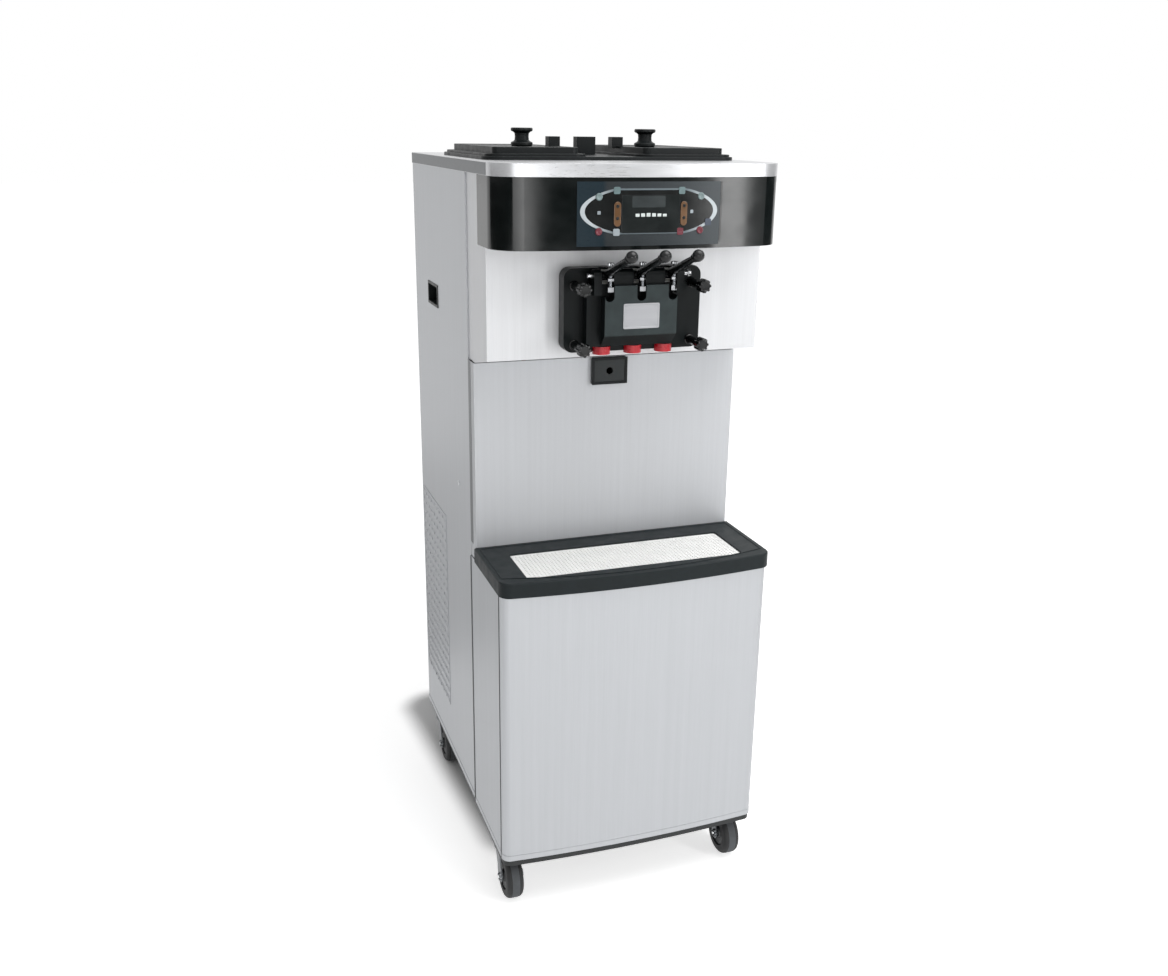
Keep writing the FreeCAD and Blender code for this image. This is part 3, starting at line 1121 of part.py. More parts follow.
def condenser_place():
    """Condenser's outer and inner face, front, and the fan axis's depth and height."""
    outer = -HALF_WIDTH + CONDENSER_SIDE
    inner = outer + CONDENSER_THICKNESS
    front = REAR_Y - CONDENSER_BACK - CONDENSER_LENGTH
    return outer, inner, front, front + CONDENSER_LENGTH / 2, PAN_TOP + CONDENSER_HEIGHT / 2


def condenser():
    """Finned condenser behind the left vent, and the fan shroud on its inner face."""
    outer, inner, front, fan_y, fan_z = condenser_place()
    back = front + CONDENSER_LENGTH
    top = PAN_TOP + CONDENSER_HEIGHT
    core = box(outer, inner, front, back, PAN_TOP, top)
    pitch = CONDENSER_HEIGHT / (FIN_COUNT + 1)
    gaps = [box(outer - SEAM, inner + SEAM, front + 2 * FIN_GAP, back - 2 * FIN_GAP,
                PAN_TOP + (index + 1) * pitch - FIN_GAP / 2, PAN_TOP + (index + 1) * pitch + FIN_GAP / 2)
            for index in range(FIN_COUNT)]
    ring_r = FAN_R + FAN_TIP_GAP
    plate = box(inner, inner + SHROUD, front, back, PAN_TOP, top)
    ring = rod((inner, fan_y, fan_z), (1, 0, 0), ring_r + SHROUD, SHROUD_RING)
    throat = rod((inner - SEAM, fan_y, fan_z), (1, 0, 0), ring_r, SHROUD_RING + 2 * SEAM)
    limit = box(inner, 0, front, back, PAN_TOP, top)
    return [cut(core, gaps), cut(fuse([plate, ring.common(limit)]), [throat])]


def fan_motor():
    """Fan motor with its shaft, held to the shroud's ring by three arms."""
    inner, fan_y, fan_z = condenser_place()[1], condenser_place()[3], condenser_place()[4]
    x = inner + SHROUD_RING
    body = rod((x, fan_y, fan_z), (1, 0, 0), FAN_MOTOR_R, FAN_MOTOR_LENGTH)
    shaft = rod((x - FAN_HUB - 2 * SEAM, fan_y, fan_z), (1, 0, 0), FAN_SHAFT_R, FAN_HUB + 2 * SEAM)
    reach = FAN_R + FAN_TIP_GAP + SHROUD
    arm = box(x, x + 2 * SHROUD, fan_y - FIN_GAP, fan_y + FIN_GAP, fan_z, fan_z + reach)
    arms = []
    for index in range(3):
        turned = arm.copy()
        turned.rotate(Vector(x, fan_y, fan_z), Vector(1, 0, 0), 60 + 120 * index)
        arms.append(turned)
    return fuse([body, shaft] + arms)


def fan_blade():
    """Fan with tilted blades on a hub that turns with the motor's shaft."""
    inner, fan_y, fan_z = condenser_place()[1], condenser_place()[3], condenser_place()[4]
    x = inner + SHROUD_RING - FAN_HUB - SEAM
    centre = Vector(x + FAN_HUB / 2, fan_y, fan_z)
    hub = rod((x, fan_y, fan_z), (1, 0, 0), FAN_HUB_R, FAN_HUB)
    chord = 2 * FAN_HUB
    blade = box(centre.x - SHROUD / 2, centre.x + SHROUD / 2, fan_y - chord / 2, fan_y + chord / 2,
                fan_z + FAN_HUB_R / 2, fan_z + math.sqrt(FAN_R ** 2 - (chord / 2) ** 2))
    blade.rotate(centre, Vector(0, 0, 1), 25)
    blades = []
    for index in range(FAN_BLADES):
        turned = blade.copy()
        turned.rotate(centre, Vector(1, 0, 0), 360 / FAN_BLADES * index)
        blades.append(turned)
    bore = rod((x - FAN_HUB, fan_y, fan_z), (1, 0, 0), FAN_SHAFT_R + RUN, 3 * FAN_HUB)
    return cut(fuse([hub] + blades), [bore])


def compressor():
    """Hermetic compressor on a foot plate, with two pipe stubs on top."""
    y = REAR_Y - COMPRESSOR_BACK
    half = COMPRESSOR_FOOT / 2
    foot = box(COMPRESSOR_X - half, COMPRESSOR_X + half, y - half, y + half, PAN_TOP,
               PAN_TOP + COMPRESSOR_FOOT_PLATE)
    low = PAN_TOP + COMPRESSOR_FOOT_PLATE
    body = rod((COMPRESSOR_X, y, low), (0, 0, 1), COMPRESSOR_R, COMPRESSOR_HEIGHT)
    top_edge = [edge for edge in body.Edges if edge.Closed and edge.BoundBox.ZMin > low + SEAM]
    body = body.makeFillet(COMPRESSOR_R * 0.45, top_edge)
    stubs = [rod((COMPRESSOR_X + side * COMPRESSOR_STUB, y, low + COMPRESSOR_HEIGHT - SEAM), (0, 0, 1),
                 STUB_R, STUB_HEIGHT + SEAM) for side in SIDES.values()]
    return fuse([foot, body] + stubs)


def refrigerant_lines():
    """Discharge, suction and liquid lines between compressor, condenser and cylinders."""
    outer, inner, front, fan_y, fan_z = condenser_place()
    core_x = (outer + inner) / 2
    top = PAN_TOP + CONDENSER_HEIGHT
    y = REAR_Y - COMPRESSOR_BACK
    stub_z = PAN_TOP + COMPRESSOR_FOOT_PLATE + COMPRESSOR_HEIGHT + STUB_HEIGHT
    left_x = COMPRESSOR_X - COMPRESSOR_STUB
    right_x = COMPRESSOR_X + COMPRESSOR_STUB
    tap_z = DOOR_Z - GEARBOX / 2 - 2 * PIPE_R
    run_z = (top + tap_z) / 2
    discharge = [(left_x, y, stub_z), (left_x, y, top + 4 * PIPE_BEND), (core_x, y, top + 4 * PIPE_BEND),
                 (core_x, y, top)]
    suction = [(right_x, y, stub_z), (right_x, y, tap_z), (right_x, CYLINDER_REAR_Y, tap_z)]
    liquid = [(core_x, y + 4 * PIPE_BEND, top), (core_x, y + 4 * PIPE_BEND, run_z),
              (-CYLINDER_X, y + 4 * PIPE_BEND, run_z), (-CYLINDER_X, y, run_z), (-CYLINDER_X, y, tap_z),
              (-CYLINDER_X, CYLINDER_REAR_Y, tap_z)]
    return [pipe(route, PIPE_R, PIPE_BEND - SHEET) for route in (discharge, suction, liquid)]


def control_box():
    """Electrical box behind the lower front panel, open at its rear."""
    half = CONTROL_BOX_WIDTH / 2
    y = FRONT_Y + SHEET
    case = box(-half, half, y, y + CONTROL_BOX_DEPTH, CONTROL_BOX_Z, CONTROL_BOX_Z + CONTROL_BOX_HEIGHT)
    hollow = box(-half + SHEET, half - SHEET, y + SHEET, y + 2 * CONTROL_BOX_DEPTH, CONTROL_BOX_Z + SHEET,
                 CONTROL_BOX_Z + CONTROL_BOX_HEIGHT - SHEET)
    return cut(case, [hollow])


def cord_gland():
    """Power cord's inlet gland in the base plate."""
    y = REAR_Y - GLAND_BACK
    low = BASE_BOTTOM - GLAND_FLANGE
    body = rod((GLAND_X, y, low), (0, 0, 1), GLAND_R, GLAND_LENGTH)
    flange = rod((GLAND_X, y, low), (0, 0, 1), GLAND_R + GLAND_FLANGE, GLAND_FLANGE)
    bore = rod((GLAND_X, y, 0), (0, 0, 1), GLAND_BORE_R, DECK_TOP)
    return cut(fuse([body, flange]), [bore])


def build():
    """Make every node of the machine and write it."""
    os.makedirs("parts", exist_ok=True)
    save("chassis_frame", chassis_frame())
    save("rear_panel", [rear_panel()])
    save("panel_screws", panel_screws())
    save("side_pulls", side_pulls())
    save("lower_front_panel", [lower_front_panel()])
    save("drip_drawer", [drip_drawer()])
    save("lower_box_panel", [lower_box_panel()])
    save("drip_tray", [drip_tray()])
    save("splash_grille", [splash_grille()])
    save("head_shell", [head_shell()])
    save("top_deck", [top_deck()])
    save("control_fascia", [control_fascia()])
    save("control_overlay", [control_overlay()])
    save("display_window", [display_window()])
    save("indicator_lamps", indicator_lamps())
    for name, (x, z) in key_places().items():
        save(name, [push_key(x, z)])
    save("freezer_door", [freezer_door()])
    save("door_gaskets", door_gaskets())
    save("hand_screws", hand_screws())
    save("pivot_pin", [pivot_pin()])
    for name, x in SPOUTS.items():
        save(f"draw_handle_{name}", [draw_handle(x)])
        save(f"adjusting_screw_{name}", [adjusting_screw(x)])
        save(f"draw_valve_{name}", [draw_valve(x)])
    save("spout_caps", [spout_cap(x) for x in SPOUTS.values()])
    save("freezing_cylinders", [freezing_cylinder(side) for side in SIDES.values()])
    save("gear_motors", gear_motors())
    save("mix_hoppers", mix_hoppers())
    save("feed_tubes", feed_tubes())
    save("lid_spacer", [lid_spacer()])
    for name, side in SIDES.items():
        save(f"{name}_side_panel", [side_panel(side)])
        save(f"{name}_beater", [beater(side)])
        save(f"{name}_hopper_lid", [hopper_lid(side)])
        save(f"{name}_lid_knob", [lid_knob(side)])
    for name, (x, y) in caster_places().items():
        save(f"{name}_caster_fork", caster_fork(x, y))
        save(f"{name}_caster_wheel", [caster_wheel(x, y)])
    save("condenser_unit", condenser() + [fan_motor()])
    save("fan_blade", [fan_blade()])
    save("compressor", [compressor()])
    save("refrigerant_lines", refrigerant_lines())
    save("control_box", [control_box()])
    save("cord_gland", [cord_gland()])


build()
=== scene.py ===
"""Looks of a floor-standing twin soft-serve freezer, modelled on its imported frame.

Lengths are metres in the frame's axes: +Z up, -Y towards the person who serves, +X to that person's right.
"""

import logging
import math
from collections.abc import Callable, Sequence
from dataclasses import dataclass
from enum import Enum

import bmesh
import bpy
from mathutils import Matrix, Vector


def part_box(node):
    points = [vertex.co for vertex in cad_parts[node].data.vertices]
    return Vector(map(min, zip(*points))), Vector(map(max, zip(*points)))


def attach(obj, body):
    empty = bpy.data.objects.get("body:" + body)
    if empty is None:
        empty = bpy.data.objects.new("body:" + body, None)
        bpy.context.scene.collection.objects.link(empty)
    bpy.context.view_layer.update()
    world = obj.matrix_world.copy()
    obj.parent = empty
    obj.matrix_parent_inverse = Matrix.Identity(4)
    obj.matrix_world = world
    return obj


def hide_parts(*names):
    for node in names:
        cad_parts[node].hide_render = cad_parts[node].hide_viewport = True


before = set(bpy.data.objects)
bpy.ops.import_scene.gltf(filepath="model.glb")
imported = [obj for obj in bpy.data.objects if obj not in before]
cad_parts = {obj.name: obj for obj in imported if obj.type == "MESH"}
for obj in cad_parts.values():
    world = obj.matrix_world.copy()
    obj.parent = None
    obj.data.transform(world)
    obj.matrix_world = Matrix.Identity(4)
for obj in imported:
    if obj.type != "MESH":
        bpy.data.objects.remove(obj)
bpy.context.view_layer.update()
log = logging.getLogger("freezer")

Point = tuple[float, float, float]
Colour = tuple[float, float, float]
Profile = Sequence[tuple[float, float]]
Socket = bpy.types.NodeSocket
Test = Callable[[Vector, Vector], bool]
RIGHTWARD, FORWARD, BACKWARD, UPWARD = (1, 0, 0), (0, -1, 0), (0, 1, 0), (0, 0, 1)
MERGE = 1e-6  # points nearer to each other than this are made one
WHOLE_FACE = math.radians(0.5)  # faces that meet at less than this are made one


class Named(Enum):
    """A place on the machine whose name is part of node and body names."""

    @property
    def word(self) -> str:
        """Name as used in node and body names."""
        return self.name.lower()


class Side(Named):
    """Left and right of the machine, seen by the person who serves."""

    LEFT = -1
    RIGHT = 1

    def outer(self, node: str) -> float:
        """X of a node's outer face on this side."""
        low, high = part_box(node)
        return high.x if self is Side.RIGHT else low.x


class Spout(Named):
    """Draw spouts, by their distance from the middle."""

    LEFT = -0.063
    CENTRE = 0.0
    RIGHT = 0.063


class Corner(Named):
    """Caster corners of the base."""

    FRONT_LEFT = 0
    FRONT_RIGHT = 1
    REAR_LEFT = 2
    REAR_RIGHT = 3


class Grain(Enum):
    """Direction of the brushing, as noise scales along X, Y and Z."""

    UPRIGHT = (900.0, 900.0, 9.0)
    ACROSS = (9.0, 900.0, 900.0)


def tone(red: int, green: int, blue: int) -> Colour:
    """Turn display values from 0 to 255 into a linear colour."""
    values = [value / 255 for value in (red, green, blue)]
    return tuple(v / 12.92 if v <= 0.04045 else ((v + 0.055) / 1.055) ** 2.4 for v in values)


def lift(colour: Colour, factor: float) -> Colour:
    """Brighten or darken a colour by a factor."""
    return tuple(min(1.0, channel * factor) for channel in colour)


def mirrored(half: Profile) -> Profile:
    """Complete a lathe profile that runs from its far end to the middle."""
    return [(r, -x) for r, x in half] + [(r, x) for r, x in reversed(half)]


class Nodes:
    """Node tree of a material or a world, built node by node."""

    def __init__(self, owner: bpy.types.Material | bpy.types.World) -> None:
        """Take over the owner's node tree."""
        owner.use_nodes = True
        self.owner, self.tree = owner, owner.node_tree

    def fill(self, node: bpy.types.Node, sockets: dict[str | int, object]) -> bpy.types.Node:
        """Link textures to a node's sockets, and set constants on the others.

        Args:
            node: The node.
            sockets: Textures and constants, by the socket's name or number.

        Returns:
            The node.
        """
        for name, value in sockets.items():
            if isinstance(value, Socket):
                self.tree.links.new(value, node.inputs[name])
            else:
                node.inputs[name].default_value = value
        return node

    def add(self, kind: str, sockets: dict[str | int, object] | None = None, **settings: object) -> bpy.types.Node:
        """Add a node.

        Args:
            kind: Blender's name of the node, without ShaderNode.
            sockets: Textures and constants for its sockets.
            settings: Its own settings.

        Returns:
            The node.
        """
        node = self.tree.nodes.new(f"ShaderNode{kind}")
        for name, value in settings.items():
            setattr(node, name, value)
        return self.fill(node, sockets or {})

    def combine(self, operation: str, first: Socket, second: Socket) -> Socket:
        """Reckon one value from two."""
        return self.add("Math", {0: first, 1: second}, operation=operation).outputs[0]

    def span(self, value: Socket, low: float, high: float, start: float = 0.3, end: float = 0.7,
             **settings: object) -> Socket:
        """Stretch a value so that it runs from low, at start, to high, at end."""
        limits = {"From Min": start, "From Max": end, "To Min": low, "To Max": high}
        return self.add("MapRange", {"Value": value, **limits}, **settings).outputs["Result"]

    def ramp(self, value: Socket, stops: Sequence[tuple[float, Colour]]) -> Socket:
        """Turn a value into colours.

        Args:
            value: The texture.
            stops: Places from 0 to 1 with their colours.

        Returns:
            The colour.
        """
        node = self.add("ValToRGB", {"Fac": value})
        elements = node.color_ramp.elements
        while len(elements) < len(stops):
            elements.new(0.5)
        for element, (place, colour) in zip(elements, stops):
            element.position = place
            element.color = (*colour, 1.0)
        return node.outputs["Color"]

    def surface(self, shader: bpy.types.Node) -> None:
        """Make a shader the material's surface, in place of the usual one."""
        self.tree.nodes.remove(self.tree.nodes["Principled BSDF"])
        self.fill(self.tree.nodes["Material Output"], {"Surface": shader.outputs[0]})


class Weave(Nodes):
    """Material of one finish: textures on Object coordinates that feed its shader."""

    def __init__(self, name: str) -> None:
        """Start a material.

        Args:
            name: Name of the material.
        """
        super().__init__(bpy.data.materials.new(name))
        self.shader = self.tree.nodes["Principled BSDF"]
        self.place = self.add("TexCoord").outputs["Object"]

    def feed(self, **sockets: object) -> None:
        """Link or set the shader's own sockets, named with underscores for spaces."""
        self.fill(self.shader, {name.replace("_", " "): value for name, value in sockets.items()})

    def noise(self, scale: Point, detail: float) -> Socket:
        """Add noise with so many repeats per metre along X, Y and Z, and octaves of detail."""
        place = self.add("Mapping", {"Vector": self.place, "Scale": scale}).outputs["Vector"]
        return self.add("TexNoise", {"Vector": place, "Scale": 1.0, "Detail": detail}).outputs["Fac"]

    def along(self, axis: str, low: float, high: float) -> Socket:
        """Measure along an axis, as 0 at the low place and 1 at the high place."""
        split = self.add("SeparateXYZ", {0: self.place})
        return self.span(split.outputs[axis], 0.0, 1.0, low, high)

    def tint(self, value: Socket, colour: Colour, darker: float, lighter: float, start: float = 0.3) -> Socket:
        """Vary a colour by a texture, from a darker factor to a lighter one."""
        return self.ramp(value, [(start, lift(colour, darker)), (0.7, lift(colour, lighter))])

    def blend(self, share: Socket, first: Socket, second: Socket) -> Socket:
        """Mix two textured colours by a texture that is the second one's share."""
        return self.add("Mix", {"Factor": share, "A": first, "B": second}, data_type="RGBA").outputs["Result"]

    def bump(self, height: Socket, strength: float, distance: float) -> None:
        """Give the surface a fine relief, with its depth in metres."""
        node = self.add("Bump", {"Height": height, "Strength": strength, "Distance": distance})
        self.feed(Normal=node.outputs["Normal"])


@dataclass(frozen=True)
class Finish:
    """A surface finish that gives a procedural material."""

    name: str
    slot: str
    colour: Colour
    roughness: float = 0.4

    def material(self) -> bpy.types.Material:
        """Give the finish's material, made at its first use.

        Returns:
            The material.
        """
        name = f"{self.name}_finish"
        if name not in bpy.data.materials:
            self.work(Weave(name))
        return bpy.data.materials[name]

    def work(self, weave: Weave) -> None:
        """Lay the finish into a node tree."""
        raise NotImplementedError


@dataclass(frozen=True)
class BrushedSteel(Finish):
    """Stainless sheet with fine brushing in one direction."""

    grain: Grain = Grain.UPRIGHT
    contrast: float = 0.07
    spread: float = 0.06
    metal: float = 0.78

    def work(self, weave: Weave) -> None:
        """Streaks in colour, roughness and relief, over soft clouds."""
        fine = weave.noise(self.grain.value, 4.0)
        broad = weave.noise(tuple(scale / 9 for scale in self.grain.value), 2.0)
        cloud = weave.noise((2.6, 2.6, 2.0), 2.0)
        streaks, bands = (weave.tint(texture, self.colour, 1 - depth, 1 + depth)
                          for texture, depth in ((fine, self.contrast), (broad, self.contrast / 2)))
        weave.bump(fine, 0.05, 0.0002)
        weave.feed(Base_Color=weave.blend(cloud, streaks, bands), Metallic=self.metal,
                   Roughness=weave.span(fine, self.roughness - self.spread, self.roughness + self.spread))


@dataclass(frozen=True)
class Moulded(Finish):
    """Moulded plastic, rubber or powder coat with a fine texture."""

    texture: float = 1400.0
    relief: float = 0.12
    mottle: float = 0.12
    specular: float = 0.45

    def mottled(self, weave: Weave, soft: Socket, colour: Colour) -> Socket:
        """Vary a colour by the soft texture."""
        return weave.tint(soft, colour, 1 - self.mottle, 1 + self.mottle)

    def shade(self, weave: Weave, soft: Socket) -> Socket:
        """Give the mottled colour."""
        return self.mottled(weave, soft, self.colour)

    def work(self, weave: Weave) -> None:
        """Fine grain for relief, with softer mottling in colour and gloss."""
        fine = weave.noise((self.texture,) * 3, 2.0)
        soft = weave.noise((38.0,) * 3, 4.0)
        weave.bump(fine, self.relief, 0.0003)
        weave.feed(Base_Color=self.shade(weave, soft), Specular_IOR_Level=self.specular,
                   Roughness=weave.span(soft, self.roughness - 0.06, self.roughness + 0.08))


@dataclass(frozen=True)
class TwoTone(Moulded):
    """Moulded plastic whose foremost face is painted a paler tone, as painted light where that face catches the
    light.
    """

    # front is the paler colour painted on the foremost face, as painted light
    front: Colour = (0.05, 0.05, 0.05)
    split: float = 0.0
    fade: float = 0.001

    def shade(self, weave: Weave, soft: Socket) -> Socket:
        """Blend the paler, painted-light tone in where the part lies ahead of the split."""
        tones = [self.mottled(weave, soft, colour) for colour in (self.colour, self.front)]
        return weave.blend(weave.along("Y", self.split + self.fade, self.split - self.fade), *tones)


@dataclass(frozen=True)
class Gloss(Finish):
    """Smooth lacquer or film with faint smudges and a trace of orange peel."""

    specular: float = 0.4
    coat: float = 0.0
    glow: float = 0.0

    def work(self, weave: Weave) -> None:
        """Smudges in gloss and colour, over a slow waviness."""
        smudge = weave.noise((22.0, 22.0, 30.0), 5.0)
        weave.bump(weave.noise((60.0,) * 3, 1.0), 0.02, 0.0005)
        weave.feed(Base_Color=weave.tint(smudge, self.colour, 0.85, 1.2, 0.35), Specular_IOR_Level=self.specular,
                   Roughness=weave.span(smudge, self.roughness, self.roughness + 0.07),
                   Coat_Weight=self.coat, Coat_Roughness=0.06)
        if self.glow:
            weave.feed(Emission_Color=(*self.colour, 1.0), Emission_Strength=self.glow)


@dataclass(frozen=True)
class Polished(Finish):
    """Polished or plated metal with hairline scratches."""

    def work(self, weave: Weave) -> None:
        """Hairlines in gloss and relief, with a slight stain."""
        hair = weave.noise((260.0, 2600.0, 2600.0), 3.0)
        stain = weave.noise((55.0,) * 3, 3.0)
        weave.bump(hair, 0.04, 0.0002)
        weave.feed(Base_Color=weave.tint(stain, self.colour, 0.86, 1.0), Metallic=1.0,
                   Roughness=weave.span(hair, self.roughness - 0.04, self.roughness + 0.08))


@dataclass(frozen=True)
class TintedFilm(Finish):
    """Printed film whose tint changes from left to right."""

    half: float = 0.138
    stops: tuple[tuple[float, Colour], ...] = ()

    def work(self, weave: Weave) -> None:
        """Tint along X, with a fine printed dot."""
        across = weave.along("X", -self.half, self.half)
        tint = weave.ramp(across, self.stops)
        dark = weave.ramp(across, [(place, lift(colour, 0.8)) for place, colour in self.stops])
        dots = weave.noise((700.0,) * 3, 2.0)
        weave.bump(dots, 0.03, 0.0002)
        weave.feed(Base_Color=weave.blend(dots, tint, dark), Specular_IOR_Level=0.25,
                   Roughness=weave.span(dots, self.roughness - 0.04, self.roughness + 0.06))


STEEL = BrushedSteel("brushed_steel", "stainless", tone(176, 178, 181), 0.46)
# Lighter copies of the stainless for the lower front panel and the head shell, as painted light.
STEEL_FRONT_PAINTED_LIT = BrushedSteel("brushed_steel_front", "stainless", tone(190, 192, 195), 0.58, metal=0.45)
STEEL_HEAD_PAINTED_LIT = BrushedSteel("brushed_steel_head", "stainless", tone(206, 207, 209), 0.48, metal=0.5)
STEEL_DECK = BrushedSteel("brushed_steel_deck", "stainless", tone(192, 193, 195), 0.32, Grain.ACROSS)
# Darker steel for the strip on the deck's edge, and for painted shade on the front panel's return beside its seam.
STEEL_TRIM_AND_SHADE = BrushedSteel("brushed_steel_trim", "stainless", tone(110, 112, 114), 0.46, Grain.ACROSS)
PLATE = BrushedSteel("pale_plate", "stainless", tone(156, 157, 160), 0.5, Grain.ACROSS)
FOOD_STEEL = BrushedSteel("food_steel", "food_steel", tone(198, 200, 203), 0.25)
FIN_STOCK = BrushedSteel("fin_stock", "condenser_aluminium", tone(180, 184, 188), 0.4)
BOX_METAL = BrushedSteel("box_metal", "box_metal", tone(168, 172, 176), 0.45)
FRAME_PAINT = Moulded("frame_paint", "black_frame", tone(24, 27, 28), 0.5, 900.0, 0.2)
BLACK_PLASTIC = Moulded("black_plastic", "black_plastic", tone(15, 19, 20), 0.4, specular=0.18)
PANEL_PLASTIC = Moulded("panel_plastic", "black_plastic", tone(34, 39, 40), 0.42, specular=0.3)
# The door's foremost faces are painted paler than its sides and gaps, as painted light.
DOOR_PLASTIC = TwoTone("door_plastic", "door_black", tone(12, 17, 18), 0.34, 1100.0, 0.1, specular=0.13,
                       front=tone(56, 64, 65), split=-0.2975)
LEVER_PLASTIC = Moulded("lever_plastic", "door_black", tone(12, 14, 15), 0.2, 1600.0, 0.04, specular=0.35)
TRAY_PLASTIC = Moulded("tray_plastic", "grey_plastic", tone(30, 36, 38), 0.45, 1000.0, 0.16, specular=0.16)
GRILLE_PLASTIC = Moulded("grille_plastic", "white_plastic", tone(246, 246, 244), 0.42, 800.0, 0.08, 0.03)
KEY_PLASTIC = Moulded("key_plastic", "key_plastic", tone(122, 140, 141), 0.3, 1500.0, 0.05)
KEY_RED = Moulded("key_red", "key_plastic", tone(110, 30, 46), 0.3, 1500.0, 0.05)
RED_CAP = Moulded("red_cap", "cap_red", tone(200, 24, 40), 0.28, 1500.0, 0.05)
VALVE_PLASTIC = Moulded("valve_plastic", "valve_plastic", tone(225, 225, 220), 0.35)
FEED_PLASTIC = Moulded("feed_plastic", "feed_plastic", tone(222, 224, 226), 0.35)
# Mid-grey strips of painted shade, standing in for the shadow in the box panel's fold and rear seam.
SEAM_SHADE_STRIP = Moulded("seam_seal", "gasket", tone(78, 80, 82), 0.6, 700.0, 0.2)
GASKET = Moulded("gasket_rubber", "gasket", tone(30, 30, 31), 0.6, 700.0, 0.2)
FAN_PLASTIC = Moulded("fan_plastic", "fan_plastic", tone(46, 47, 49), 0.42)
MOTOR_PAINT = Moulded("motor_paint", "motor_grey", tone(70, 74, 78), 0.45, 600.0, 0.25)
RUBBER = Moulded("caster_rubber", "caster_rubber", tone(30, 31, 32), 0.62, 500.0, 0.25, 0.25)
TREAD = Moulded("caster_tread", "caster_rubber", tone(80, 83, 86), 0.68, 420.0, 0.3, 0.2)
HUB_PLASTIC = Moulded("caster_hub", "caster_rubber", tone(58, 60, 62), 0.45)
CASTER_STEEL = Polished("caster_steel", "caster_metal", tone(120, 123, 126), 0.34)
SCREW_STEEL = Polished("screw_steel", "screw_steel", tone(196, 198, 200), 0.26)
CHROME = Polished("chrome", "chrome", tone(168, 170, 173), 0.1)
COPPER = Polished("copper", "copper", tone(196, 118, 82), 0.28)
BAND_BLACK = Gloss("band_black", "gloss_black", tone(13, 18, 18), 0.08, 0.28)
LENS_FIELD = Gloss("lens_field", "overlay_film", tone(16, 19, 19), 0.16, 0.3)
PRINT_PALE = Moulded("print_pale", "overlay_film", tone(160, 170, 176), 0.34, 1500.0, 0.04)
DISPLAY = Gloss("display_glass", "display_lens", tone(36, 40, 40), 0.1, 0.3)
SCREEN = Gloss("display_screen", "display_lens", tone(48, 54, 55), 0.2, 0.35)
READOUT = Gloss("display_readout", "display_lens", tone(214, 222, 220), 0.25, 0.3, 0.0, 0.12)
AMBER = Gloss("amber_lens", "amber_lens", tone(116, 84, 56), 0.16, 0.4, 0.2)
PRINT_TEAL = Moulded("print_teal", "overlay_film", tone(98, 120, 122), 0.35, 1500.0, 0.04)
PRINT_BLUE = Moulded("print_blue", "overlay_film", tone(42, 56, 76), 0.35, 1500.0, 0.04)
FILM_BLUE, FILM_GREY = tone(10, 34, 44), tone(62, 69, 73)
FILM = TintedFilm("control_film", "overlay_film", FILM_BLUE, 0.3,
                  stops=((0.0, FILM_BLUE), (0.17, FILM_BLUE), (0.2, lift(FILM_GREY, 0.5)), (1.0, FILM_GREY)))
RING_ENDS, RING_MIDDLE = tone(206, 214, 218), tone(112, 124, 130)
LENS_RING = TintedFilm("lens_ring", "overlay_film", RING_ENDS, 0.34, 0.1325,
                       ((0.0, RING_ENDS), (0.08, RING_ENDS), (0.24, RING_MIDDLE), (0.76, RING_MIDDLE),
                        (0.92, RING_ENDS)))


def rest() -> None:
    """Leave edit mode and deselect everything."""
    if bpy.context.object and bpy.context.object.mode != "OBJECT":
        bpy.ops.object.mode_set(mode="OBJECT")
    bpy.ops.object.select_all(action="DESELECT")


def add_modifier(obj: bpy.types.Object, kind: str, **settings: object) -> str:
    """Add a modifier to an object.

    Args:
        obj: The object.
        kind: Blender's name of the modifier.
        settings: Its settings.

    Returns:
        The modifier's name.
    """
    modifier = obj.modifiers.new(kind.lower(), kind)
    for name, value in settings.items():
        setattr(modifier, name, value)
    return modifier.name


